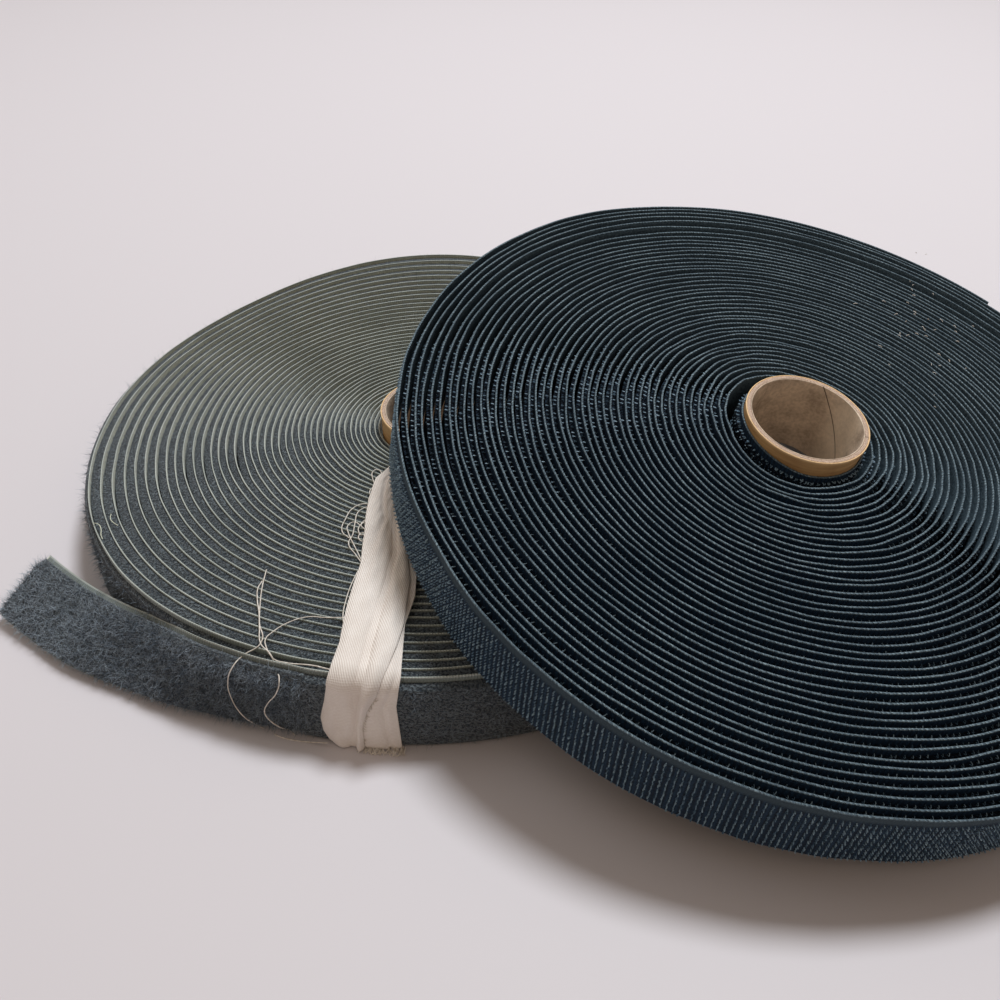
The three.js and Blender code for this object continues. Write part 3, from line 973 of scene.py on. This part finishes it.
freeEnd = {
    "length": 119 * mm,
    "steps": 128, "columns": 12,
    "bendOut": 6.8, "bendLength": 8 * mm,
    "curlIn": 15.5, "curlLength": 89 * mm,
    "tipCurl": 16.5, "tipCurlLength": 58 * mm,
    "lean": 60.0, "leanLength": 99 * mm,
    "lift": 1.5 * mm, "liftLength": 80 * mm,
    "wave": 0.4 * mm, "waveLength": 37 * mm, "waveFrom": 12 * mm, "waveTo": 42 * mm,
    "crease": 0.9 * mm, "creaseAt": 92 * mm, "creaseSlant": 0.55, "creaseWidth": 2.5 * mm,
    "hingeLength": 26 * mm,
    "bevel": 0.5 * mm,
    "bareFoot": 0.5 * mm,
    "slope": 0.7 * mm, "slopeWidth": 3 * mm,    # the pile thins out towards its bare upper edge
    "backTip": 0.3 * mm, "pileTip": 2.5 * mm,   # how far back from the tip each layer is rounded
    "brushing": {**longFibres, "density": 5.0e6, "seed": 31, "bareTo": -87.0},
}


def loopBulge(angle):
    # how far the last turn stands out from a true circle
    bulge = 0
    for side in ("A", "B", "C"):
        away = (angle - loopRoll["bulgeAngle" + side] + 180) % 360 - 180
        bulge += loopRoll["bulgeHeight" + side] * math.exp(-(away / loopRoll["bulgeSpread" + side]) ** 2)
    return bulge


def freeEndPath(travelled):
    # lower edge of the backing's near face, with the directions of the strip at each step
    peel = loopRoll["endAngle"] * degree
    along = np.array([math.sin(peel), -math.cos(peel)])
    rootRadius = loopRoll["endRadius"] + loopBulge(loopRoll["endAngle"]) + loopRoll["flare"]
    root = np.array([math.cos(peel), math.sin(peel)]) * rootRadius
    toTip = freeEnd["length"] - travelled
    bend = freeEnd["bendOut"] * smoothStep(travelled / freeEnd["bendLength"])
    curl = freeEnd["curlIn"] * smoothStep(travelled / freeEnd["curlLength"])
    curl += freeEnd["tipCurl"] * smoothStep(1 - toTip / freeEnd["tipCurlLength"])
    turned = (bend - curl) * degree
    heading = np.stack([
        along[0] * np.cos(turned) - along[1] * np.sin(turned),
        along[0] * np.sin(turned) + along[1] * np.cos(turned)], axis=1)
    stepLength = travelled[1] - travelled[0]
    edge = root + np.vstack([[0, 0], np.cumsum(heading[:-1], axis=0)]) * stepLength
    rootLean = math.asin(loopRoll["flare"] / tapeWidth)
    lean = mix(rootLean, freeEnd["lean"] * degree, smoothStep(travelled / freeEnd["leanLength"]))
    lift = freeEnd["lift"] * smoothStep(1 - toTip / freeEnd["liftLength"])
    flat = np.zeros(len(travelled))
    side = np.stack([-heading[:, 1], heading[:, 0], flat], axis=1)
    up = np.array([0, 0, 1.0])
    across = up * np.cos(lean)[:, None] - side * np.sin(lean)[:, None]
    through = side * np.cos(lean)[:, None] + up * np.sin(lean)[:, None]
    foot = np.stack([edge[:, 0], edge[:, 1], lift], axis=1)
    return foot, across, through


def freeEndStrip(name, near, far, low, high, tipRound, slope=0.0):
    columns = freeEnd["columns"]
    travelled = np.linspace(0, freeEnd["length"], freeEnd["steps"] + 1)
    foot, across, through = freeEndPath(travelled)
    widths = np.linspace(low, high, columns)
    bevel = min(0.45 * (far - near), freeEnd["bevel"])
    ends = smoothStep(np.minimum(1, (freeEnd["length"] - travelled) / tipRound + 0.25))[:, None]
    shoulders = np.minimum(widths - low, high - widths)
    top = np.full((len(travelled), columns), far)
    top -= bevel * (1 - np.clip(shoulders / bevel, 0, 1) ** 0.5)
    top -= slope * smoothStep(1 - (high - widths) / freeEnd["slopeWidth"])
    top = near + (top - near) * ends
    bottom = np.full_like(top, near)
    width = np.tile(np.concatenate([widths, widths[::-1]]), (len(travelled), 1))
    depth = np.concatenate([bottom, top[:, ::-1]], axis=1)
    along = np.repeat(travelled[:, None], 2 * columns, axis=1)
    loose = smoothStep((along - freeEnd["waveFrom"]) / (freeEnd["waveTo"] - freeEnd["waveFrom"]))
    sway = along / freeEnd["waveLength"] * math.tau + width / tapeWidth * 2
    swell = freeEnd["wave"] * np.sin(sway) * loose
    fold = along - freeEnd["creaseAt"] + (width - tapeWidth / 2) * freeEnd["creaseSlant"]
    fold = np.exp(-(fold / freeEnd["creaseWidth"]) ** 2)
    swell = swell - freeEnd["crease"] * fold * (0.4 + 0.6 * width / tapeWidth)
    place = foot[:, None] + across[:, None] * width[..., None] + through[:, None] * (depth + swell)[..., None]
    place += np.array(loopPlace.translation)
    marks = {"along": along, "across": width, "depth": depth, "turn": np.full_like(along, freeEndMark)}
    return tidyMesh(gridMesh(name, place, marks, closedColumns=1))


def makeFreeEnd():
    back = showPiece(freeEndStrip(
        "freeEndBacking", backing["nearFace"], backing["farFace"], backing["lowEdge"], backing["highEdge"],
        freeEnd["backTip"]), loopBackFinish)
    brushed = showPiece(freeEndStrip(
        "freeEndPile", pile["nearFace"], pile["farFace"], pile["lowEdge"] + freeEnd["bareFoot"],
        pile["highEdge"] - pile["selvedge"], freeEnd["pileTip"], freeEnd["slope"]), loopPileFinish)
    brush = growFibres("freeEndFuzz", brushed, freeEnd["brushing"])
    foot, _, _ = freeEndPath(np.linspace(0, freeEnd["length"], freeEnd["steps"] + 1))
    hingeEnd = int(freeEnd["hingeLength"] / freeEnd["length"] * freeEnd["steps"])
    for piece in (back, brushed, brush):
        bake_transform(piece)
    for piece in (back, brushed):
        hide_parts("loop_tape_free_end")


makeFreeEnd()
print("free end laid out")


# Cores: three plies of a cardboard tube, glued one round the other

core = {
    "wrap": 0.45 * mm,
    "board": 1.25 * mm,
    "liner": 0.42 * mm,
    "seam": 0.02 * mm,
    "sides": 144,
    "round": 0.3 * mm,
    "flare": 0.3 * mm, "flareLength": 4 * mm,
}
coreWall = core["wrap"] + core["board"] + core["liner"]
paper = {    # a pair of tones is dark first, then light
    "wrap": (tone(160, 118, 72), tone(212, 172, 118)),
    # painted highlight along the wrap's rounded upper edge
    "rimHighlight": tone(238, 202, 152), "edgeFrom": 0.2 * mm, "edgeTo": 1.1 * mm,
    "board": (tone(190, 158, 136), tone(248, 224, 204)),
    "liner": (tone(150, 132, 114), tone(226, 206, 184)),
    # a painted pool of light on one stretch of the liner
    "litPatch": tone(252, 238, 216), "litPatchAt": (2 * mm, 8 * mm, 14 * mm, 24 * mm),    # round the tube
    "scratch": tone(236, 218, 198),
    "spot": tone(96, 74, 56),
    "seam": tone(64, 46, 34), "seamAt": 81 * degree, "seamSlant": 0.85, "seamWidth": 0.22 * mm,
    "wrapFuzz": {"Fine": 800.0, "Slow": 90.0, "Softness": 0.25},
    "boardFuzz": {"Fine": 2500.0, "Slow": 90.0, "Softness": 0.2},
    "linerFuzz": {"Fine": 900.0, "Slow": 110.0, "Softness": 0.25},
    "relief": 0.12 * mm, "tornRelief": 0.2 * mm,
}


def streaks(tree, around, other, aroundScale, otherScale, start, detail):
    # noise drawn out round the tube
    return noise(tree, join(tree, around * aroundScale, other * otherScale, start), 1.0, detail)


def wrapLook(tree, place):
    # kraft paper with streaks round the tube and a painted highlight along its rounded upper edge
    around, down = attributes(tree, "around", "down")
    grain = streaks(tree, around, down, 60, 700, 0.0, 3.0).ramp(-0.5, 0.6)
    specks, patches = useGroup(tree, fuzz, {"Place": place, **paper["wrapFuzz"]})
    shade = blendTones(tree, grain * 0.6 + patches * 0.4, *paper["wrap"])
    # painted highlight on the rounded upper edge
    atEdge = 1 - down.ramp(paper["edgeFrom"], paper["edgeTo"])
    shade = blendTones(tree, atEdge, shade, paper["rimHighlight"])
    return {"Base Color": shade, "Normal": bump(tree, grain * 0.5 + specks * 0.5, paper["relief"])}


def boardLook(tree, place):
    # torn board, pinkish grey, with the fine lines of its layers
    around, depth = attributes(tree, "around", "depth")
    layers = streaks(tree, around, depth, 250, 6000, 0.0, 2.0).ramp(-0.5, 0.5)
    specks, _ = useGroup(tree, fuzz, {"Place": place, **paper["boardFuzz"]})
    shade = blendTones(tree, layers * 0.5 + specks * 0.5, *paper["board"])
    return {"Base Color": shade, "Normal": bump(tree, layers + specks, paper["tornRelief"])}


def linerLook(tree, place):
    # brown-grey paper with a spiral seam, a painted pool of light on one stretch, pale scratches and dark
    # spots
    around, down = attributes(tree, "around", "down")
    specks, patches = useGroup(tree, fuzz, {"Place": place, **paper["linerFuzz"]})
    slanted = join(tree, around * 90, down * 1100 + around * 200, 3.0)
    scratches = noise(tree, slanted, 1.0, 2.0).ramp(0.45, 0.8)
    spots = streaks(tree, around, down, 420, 420, 7.0, 1.0).ramp(0.62, 0.8)
    shade = blendTones(tree, specks * 0.4 + patches * 0.6, *paper["liner"])
    # painted light: a paler stretch of the liner round the tube
    grows, grown, fades, gone = paper["litPatchAt"]
    litPatch = around.ramp(grows, grown) * (1 - around.ramp(fades, gone))
    seamLine = (coreRadius - coreWall) * paper["seamAt"]
    gap = (around + down * paper["seamSlant"] - seamLine).sum("ABSOLUTE")
    line = 1 - gap.ramp(paper["seamWidth"] * 0.6, paper["seamWidth"] * 1.5)
    over = {"litPatch": litPatch * 0.5, "scratch": scratches * 0.65, "spot": spots * 0.7, "seam": line * 0.85}
    for colour, share in over.items():
        shade = blendTones(tree, share, shade, paper[colour])
    return {"Base Color": shade, "Normal": bump(tree, specks * 0.4 + scratches * 0.3 - line, paper["relief"])}


wrapFinish = finish("kraftWrap", wrapLook, Roughness=0.55)
boardFinish = finish("rawBoard", boardLook, Roughness=0.95)
linerFinish = finish("greyLiner", linerLook, Roughness=0.75)


def makePly(name, outer, inner, place, material):
    # one ply, its section turned round the tube's axis: a straight foot and a flared rim with round corners
    angles = np.linspace(0, math.tau, core["sides"], endpoint=False)
    bend = np.linspace(0, math.pi / 2, 4)
    corner = min(core["round"], (outer - inner) * 0.48)
    low, high = -coreLength / 2, coreLength / 2
    flareFoot = high - core["flareLength"]
    rimInner, rimOuter = inner + core["flare"], outer + core["flare"]
    section = [(inner, low), (outer, low), (outer, flareFoot)]
    section += [(rimOuter - corner * (1 - math.cos(b)), high - corner * (1 - math.sin(b))) for b in bend]
    section += [(rimInner + corner * (1 - math.sin(b)), high - corner * (1 - math.cos(b))) for b in bend]
    section.append((inner, flareFoot))
    radius, height = np.array(section).T
    count = len(section)
    rings = np.stack([
        np.cos(angles)[:, None] * radius, np.sin(angles)[:, None] * radius,
        np.tile(height, (len(angles), 1))], axis=2)
    marks = {
        "around": angles[:, None] * np.full(count, (rimOuter + rimInner) / 2),
        "down": np.tile(high - height, (len(angles), 1)),
        "depth": np.tile(radius, (len(angles), 1)),
    }
    mesh = gridMesh(name, rings, marks, closedRows=1, closedColumns=1)
    mesh.transform(place)
    return showPiece(tidyMesh(mesh), material)


def makeCore(prefix, body, place):
    wrapInner = coreRadius - core["wrap"]
    boardInner = wrapInner - core["board"]
    plies = (
        ("Wrap", coreRadius, wrapInner + core["seam"], wrapFinish, "core_wrap"),
        ("Board", wrapInner, boardInner + core["seam"], boardFinish, "core_board"),
        ("Liner", boardInner, boardInner - core["liner"], linerFinish, "core_liner"),
    )
    for name, outer, inner, material, slot in plies:
        piece = makePly(f"{prefix}Core{name}", outer, inner, place, material)
        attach(piece, body)
        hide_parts(f"{prefix}_{slot}")


makeCore("loop", "loop_core", Matrix.Translation(loopMiddle))
makeCore("hook", "hook_core", Matrix.Translation(hookCoreMiddle) @ hookTurn.to_4x4())
print("cores rolled")


# Cloth tie: a strip of twill folded along its length, from near the core over the rim and down to the table.
# Its edges and folds are angles about the roll's axis, at distances along its route in millimetres.

tie = {
    "innerRadius": 27 * mm,
    "middleAngle": 80.0,
    "cornerInset": 4.2 * mm, "cornerRadius": 5.0 * mm,
    "clearance": 0.8 * mm,
    "footHeight": 0.4 * mm,
    "ply": 0.45 * mm,
    "topSteps": 90, "cornerSteps": 14, "wallSteps": 36,
    "columns": 60,
    "wrinkle": 0.1 * mm,
    "leftEdge": (
        (0, -101), (10, -101.5), (14, -101.9), (23, -97.5), (40, -91), (54, -87.5), (73, -86), (88, -84.5),
        (98, -84.3), (108, -84.9), (115, -85.5), (120, -85.2), (123, -84.5), (125, -83.3), (126.5, -81.6)),
    "rightEdge": (
        (0, -82), (13, -80.8), (22, -79), (39, -77.1), (55, -74.8), (66, -74.5), (78, -75.6), (98, -75.1),
        (108, -75.7), (127, -75.0)),
    "valley": ((0, -92), (30, -84.5), (48, -80.6), (64, -80.4), (98, -80.2), (104, -80.6), (127, -81.4)),
    "flap": (
        (0, -84), (40, -78.5), (60, -75.8), (79, -75.7), (88, -76.2), (96, -76.9), (103, -78.0),
        (109, -79.3), (115, -80.0), (127, -79.9)),
    "pleat": ((0, -99), (14, -96), (33, -87.4), (50, -87.3), (60, -88)),
    "crease": ((96, -75.4), (109, -77.4), (117, -77.1), (127, -76.3)),
}
tieLoft = {    # how high the folds stand, as shares of the whole
    "whole": 2.5 * mm,
    "lowPly": 0.3,
    "foldBulge": 0.3,      # this one in degrees, past the left edge
    "fold": 0.45,
    "leftCrown": 0.42, "flapCrown": 0.6, "flapEdge": 0.12,
    "pleat": 0.35, "valley": 0.4, "pinch": 0.35,
}
tieWeave = {
    "tones": (tone(222, 210, 201), tone(252, 246, 240)),
    "thread": (tone(206, 196, 184), tone(242, 236, 228)),
    "twill": {"Pitch": 1.44 * mm, "Slant": -1.9, "Wobble": 0.05, "Sharpness": 1.0},
    "courses": {"Pitch": 0.55 * mm, "Slant": 0.05, "Wobble": 0.04, "Sharpness": 1.0},
    "fuzz": {"Fine": 1600.0, "Slow": 70.0, "Softness": 0.3},
    "wallFrom": 97 * mm, "wallTo": 104 * mm,    # along the tie, where twill gives way to courses
    "relief": 0.1 * mm,
}


def tieRoute():
    # radius, height and the direction away from the roll, along a plane through the roll's axis
    rim = loopRoll["endRadius"] + pile["farFace"]
    centre = rim - tie["cornerInset"]
    top = tapeWidth + tie["clearance"]
    corner = tie["cornerRadius"]
    centreHeight = top - corner
    wallTop = centre + corner
    wallFoot = rim + loopRoll["flare"] + tie["clearance"]
    wallLean = math.atan2(wallFoot - wallTop, centreHeight)
    shares = np.linspace(0, 1, tie["topSteps"])
    route = [(mix(tie["innerRadius"], centre, share), top, math.pi / 2) for share in shares]
    for share in np.linspace(0, 1, tie["cornerSteps"] + 1)[1:]:
        normal = mix(math.pi / 2, wallLean, share)
        route.append((centre + corner * math.cos(normal), centreHeight + corner * math.sin(normal), normal))
    for share in np.linspace(0, 1, tie["wallSteps"] + 1)[1:]:
        height = mix(centreHeight, tie["footHeight"], share)
        route.append((mix(wallTop, wallFoot, share), height, wallLean * (1 - share)))
    return np.array(route)


def travelledAlong(route):
    # in millimetres, the unit of the tie's edges
    steps = np.hypot(*np.diff(route[:, :2], axis=0).T)
    return np.concatenate([[0], np.cumsum(steps)]) / mm


def tieEdge(key, distance):
    stops, angles = np.array(tie[key], float).T
    return np.interp(distance, stops, angles)


def groove(angle, middle, width):
    return np.exp(-((angle - middle) / width) ** 2)


def tiePlace(route, angle, lift):
    # from angle in degrees and height over the roll to a place, one row for each step of the route
    radius, height, normal = (route[:, i][:, None] for i in range(3))
    radius = radius + lift * np.cos(normal)
    turned = angle * degree
    height = height + lift * np.sin(normal)
    place = np.stack([radius * np.cos(turned), radius * np.sin(turned), height], axis=2)
    return place + np.array(loopPlace.translation)


def tieFolds(travelled):
    # angle and height over the roll of each point, across the lower ply, the fold and the upper ply
    edges = ("leftEdge", "rightEdge", "valley", "flap", "pleat", "crease")
    left, right, valley, flap, pleat, crease = (tieEdge(key, travelled)[:, None] for key in edges)
    distance = travelled[:, None]
    loft = tieLoft["whole"]

    # lower ply, from the right edge to the left one
    share = np.linspace(1, 0, tie["columns"])[None]
    lowAngle = left + (right - left) * share
    dent = groove(lowAngle, crease, 0.45) * smoothStep((distance - 94) / 6)
    lowLift = tieLoft["lowPly"] * loft * smoothStep(share * 12) * smoothStep((1 - share) * 6) * (1 - dent)

    # the fold at the left edge
    turn = np.linspace(0, 1, 7)[None, 1:-1]
    foldAngle = left - tieLoft["foldBulge"] * np.sin(math.pi * turn)
    foldLift = tieLoft["fold"] * loft * turn + 0 * left

    # upper ply, from the left edge to its free edge
    share = np.linspace(0, 1, tie["columns"])[None]
    highAngle = left + (flap - left) * share
    toValley = np.clip((highAngle - left) / (valley - left), 0, 1)
    toFlap = np.clip((highAngle - valley) / np.maximum(flap - valley, 0.4), 0, 1)
    highLift = tieLoft["fold"] + tieLoft["leftCrown"] * np.sin(math.pi * toValley) ** 0.8
    highLift += tieLoft["flapCrown"] * np.sin(math.pi * toFlap) ** 0.9
    highLift += tieLoft["flapEdge"] * toFlap
    highLift -= tieLoft["pleat"] * groove(highAngle, pleat, 1.0) * (1 - smoothStep((distance - 44) / 14))
    highLift -= tieLoft["valley"] * groove(highAngle, valley, 0.6) * smoothStep((distance - 24) / 10)
    pinch = smoothStep((distance - 98) / 8) * (1 - smoothStep((distance - 116) / 8))
    highLift += tieLoft["pinch"] * pinch * groove(highAngle, flap - 1.2, 0.8)
    ripple = np.sin(distance / 2.6 + highAngle * 1.9) + np.sin(distance / 4.3 - highAngle * 2.7)
    highLift = highLift * loft + tie["wrinkle"] * ripple
    angle = np.concatenate([lowAngle, foldAngle, highAngle], axis=1)
    return angle, np.concatenate([lowLift, foldLift, highLift], axis=1)


def makeTie():
    route = tieRoute()
    travelled = travelledAlong(route)
    angle, lift = tieFolds(travelled)
    place = tiePlace(route, angle, lift)
    marks = {
        "along": np.repeat(travelled[:, None] * mm, place.shape[1], axis=1),
        "across": (angle + tie["middleAngle"]) * degree * route[:, :1],
    }
    piece = showPiece(gridMesh("clothTie", place, marks), tieFinish)
    piece.data.shade_smooth()
    wall = piece.modifiers.new("cloth", "SOLIDIFY")
    wall.thickness = tie["ply"]
    wall.offset = 1.0
    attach(piece, "loop_roll")
    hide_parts("cloth_tie")
    widths = np.linalg.norm(np.diff(place, axis=1), axis=2).sum(axis=1)
    flat = (float(widths.mean()), float(travelled[-1] * mm))
    print("  tie's flat size", flat)
    return piece, flat, route


def tieLook(tree, place):
    along, across = attributes(tree, "along", "across")
    twill, _ = useGroup(tree, ribs, {"Along": along, "Across": across, **tieWeave["twill"]})
    courses, _ = useGroup(tree, ribs, {"Along": along, "Across": across, **tieWeave["courses"]})
    onWall = along.ramp(tieWeave["wallFrom"], tieWeave["wallTo"])
    wave = twill * (1 - onWall) + courses * onWall * 0.6
    specks, patches = useGroup(tree, fuzz, {"Place": place, **tieWeave["fuzz"]})
    shade = blendTones(tree, wave * 0.55 + specks * 0.2 + patches * 0.25, *tieWeave["tones"])
    return {"Base Color": shade, "Normal": bump(tree, wave, tieWeave["relief"])}


def threadLook(tree, place):
    return {"Base Color": blendTones(tree, noise(tree, place, 900.0).ramp(-0.5, 0.5), *tieWeave["thread"])}


tieFinish = finish("cottonTwill", tieLook, Roughness=0.9, Sheen_Weight=0.2)
threadFinish = finish("cottonThread", threadLook, Roughness=0.8)


# Loose threads, by the pixels at which the photograph shows them, and the frayed foot of the tie

threads = {
    "radius": 0.2 * mm,
    "snagRadius": 0.16 * mm,
    "overTop": 0.45 * mm,
    "overPile": 2.0 * mm,
    "routes": (
        ((374, 505), (362, 504), (352, 509), (346, 518), (342, 531), (349, 538)),
        ((369, 506), (359, 511), (355, 523), (352.6, 535), (348.5, 543), (356, 555), (362.5, 564)),
        ((361, 526), (354, 522), (347.6, 526), (348.5, 533), (354, 545), (359, 555), (361.7, 561)),
        ((363, 562), (352, 583), (346, 600), (343, 615), (344, 626)),
        ((345, 617.5), (325, 617.5), (308, 616.8), (288, 622.6), (273, 631.7), (265.5, 639),
         (266.4, 647.5), (271, 655.8), (276.3, 660.8), (286, 664), (314.5, 665.7), (324, 668),
         (332.7, 671.5)),
        ((266.4, 569.6), (262, 588), (260, 606), (259.4, 622.6), (260.6, 643.4), (246.5, 654), (236.6, 665.7),
         (231.6, 679), (234, 692), (245, 710.5), (261.4, 727), (281.3, 737), (301.2, 741.2), (329.4, 738)),
        ((262.2, 581), (258, 588), (257.3, 599.4), (259, 612.7), (259.4, 627.6), (260.6, 643.4),
         (271.4, 655.8), (278.8, 665.7), (282, 677.3), (278.8, 689), (270.5, 699), (267.2, 707.2),
         (270.5, 713.8), (281.3, 722), (289.6, 730.4), (296, 736)),
        ((376, 486), (372.5, 478), (373, 471.5), (377, 469.5), (381, 472), (381, 478), (378, 486)),
        ((375, 490), (369.5, 497), (369, 506), (371, 513)),
        ((377, 486), (371, 489), (370, 494), (373, 498), (369, 503)),
        ((366, 521), (359.5, 526), (358.5, 531), (362, 535), (365, 530), (361, 525), (366, 519)),
        ((366, 532), (360, 534), (359, 539), (363, 541), (365, 536)),
    ),
    "backingRoutes": (
        ((93, 523), (98, 524), (101, 529), (101, 535), (102.5, 539)),
        ((111, 514), (110.5, 519), (114, 523), (118, 525.5)),
    ),
}
fringeHairs = {
    "seed": 4,
    "radius": 0.12 * mm,
    "footHairs": 90, "footAngles": (-80.6, -74.6), "footReach": (0.8, 3.4), "footSwing": 0.7,
    "seamHairs": 60, "seamStretch": (104, 126), "seamReach": (0.5, 1.7),
    "lowest": 0.2 * mm,
}


def pileSurface(pieces):
    corners, faces = [], []
    for piece in pieces:
        first = len(corners)
        corners += [vertex.co for vertex in piece.data.vertices]
        faces += [[first + i for i in polygon.vertices] for polygon in piece.data.polygons]
    return BVHTree.FromPolygons(corners, faces)


def layOn(surface, pixel):
    # where a thread seen at a pixel lies: on the roll's top, on the pile of its outer side or on the table
    line = sightLine(pixel)
    top = eye + line * ((tapeWidth + threads["overTop"] - eye.z) / line.z)
    outward = top - loopPlace.translation
    bulge = loopBulge(math.degrees(math.atan2(outward.y, outward.x)))
    if math.hypot(outward.x, outward.y) < loopRoll["endRadius"] + bulge:
        return top
    hit, normal, _, _ = surface.ray_cast(eye, line)
    if hit:
        return hit + normal * threads["overPile"]
    return eye + line * ((threads["radius"] - eye.z) / line.z)


def laidOut(surface, key):
    return [[layOn(surface, pixel) for pixel in pixels] for pixels in threads[key]]


def spin(name, routes, radius, material):
    # one mesh for several threads, each a smooth line through its points
    data = bpy.data.curves.new(name, "CURVE")
    data.dimensions = "3D"
    data.bevel_depth = radius
    data.bevel_resolution = 0
    data.resolution_u = 6
    data.use_fill_caps = True
    for route in routes:
        spline = data.splines.new("BEZIER")
        spline.bezier_points.add(len(route) - 1)
        for point, place in zip(spline.bezier_points, route):
            point.co = place
            point.handle_left_type = "AUTO"
            point.handle_right_type = "AUTO"
    holder = link(bpy.data.objects.new(name + "Route", data))
    mesh = bpy.data.meshes.new_from_object(holder.evaluated_get(bpy.context.evaluated_depsgraph_get()))
    bpy.data.objects.remove(holder)
    mesh.name = name
    mesh.shade_smooth()
    mesh.materials.clear()
    return showPiece(mesh, material)


def fringeSides(degrees):
    # away from the roll and to the side, at an angle about its axis
    out = np.array([math.cos(degrees * degree), math.sin(degrees * degree), 0])
    return out, np.array([-out[1], out[0], 0])


def frayedEdge(route):
    # short hairs along the tie's foot and down the lower part of its free edge
    fringe = fringeHairs
    rng = np.random.default_rng(fringe["seed"])
    axis = np.array(loopPlace.translation)
    distance = travelledAlong(route)
    hairs = []
    for _ in range(fringe["footHairs"]):
        out, side = fringeSides(rng.uniform(*fringe["footAngles"]))
        start = axis + out * (route[-1][0] + 0.3 * mm)
        start[2] = rng.uniform(0.3, 1.4) * mm
        reach = rng.uniform(*fringe["footReach"]) * mm
        swing = rng.uniform(-fringe["footSwing"], fringe["footSwing"]) * reach
        middle = start + out * reach * 0.5 + side * swing * 0.2
        end = start + out * reach * 0.9 + side * swing
        middle[2], end[2] = rng.uniform(0.3, 1.0) * mm, 0.25 * mm
        hairs.append((start, middle, end))
    for _ in range(fringe["seamHairs"]):
        at = rng.uniform(*fringe["seamStretch"])
        radius, height = (np.interp(at, distance, route[:, i]) for i in range(2))
        out, side = fringeSides(tieEdge("flap", at) - 0.2)
        start = axis + out * (radius + 1.2 * mm)
        start[2] = height
        reach = rng.uniform(*fringe["seamReach"]) * mm
        end = start + side * reach * rng.uniform(0.3, 1.0) + out * reach * rng.uniform(-0.2, 0.5)
        end[2] -= reach * rng.uniform(-0.3, 0.8)
        end[2] = max(end[2], fringe["lowest"])
        hairs.append((start, (start + end) / 2 + out * reach * 0.2, end))
    return hairs


def makeTieAndThreads():
    piece, flat, route = makeTie()
    surface = pileSurface([bpy.data.objects[name] for name in ("loopPile", "freeEndPile")])
    loose = spin("looseThreads", laidOut(surface, "routes"), threads["radius"], threadFinish)
    fringe = spin("tieFringe", frayedEdge(route), fringeHairs["radius"], threadFinish)
    snags = laidOut(surface, "backingRoutes")
    snagged = spin("snaggedThreads", snags, threads["snagRadius"], loopBackFinish)
    for strand in (loose, fringe, snagged):
        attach(strand, "loop_roll")


makeTieAndThreads()
print("tie folded")


# White lint on the hook roll's far right, by the pixels round which it gathers

lint = {
    "seed": 12, "hairs": 46,
    "radius": 0.12 * mm, "length": 1.2 * mm, "lift": 0.3 * mm,
    "middles": ((935, 380), (930, 330), (905, 300)), "spread": 26.0,
}


def makeLint():
    rng = np.random.default_rng(lint["seed"])
    top = hookPlace @ Vector((0, 0, tapeWidth + hookRoll["dome"] * 0.5 + lint["lift"]))
    hairs = []
    for k in range(lint["hairs"]):
        x, y = np.array(lint["middles"][k % len(lint["middles"])]) + rng.normal(0, 1, 2) * lint["spread"]
        line = sightLine((x, y))
        place = eye + line * ((top - eye).dot(hookAxis) / line.dot(hookAxis))
        way = hookAxis.cross(Vector(rng.normal(0, 1, 3))).normalized()
        way = way * lint["length"] * rng.uniform(0.2, 0.8)
        hairs.append((place - way, place + hookAxis * lint["lift"], place + way))
    piece = spin("lint", hairs, lint["radius"], threadFinish)
    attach(piece, "hook_roll")


makeLint()
print("lint scattered")
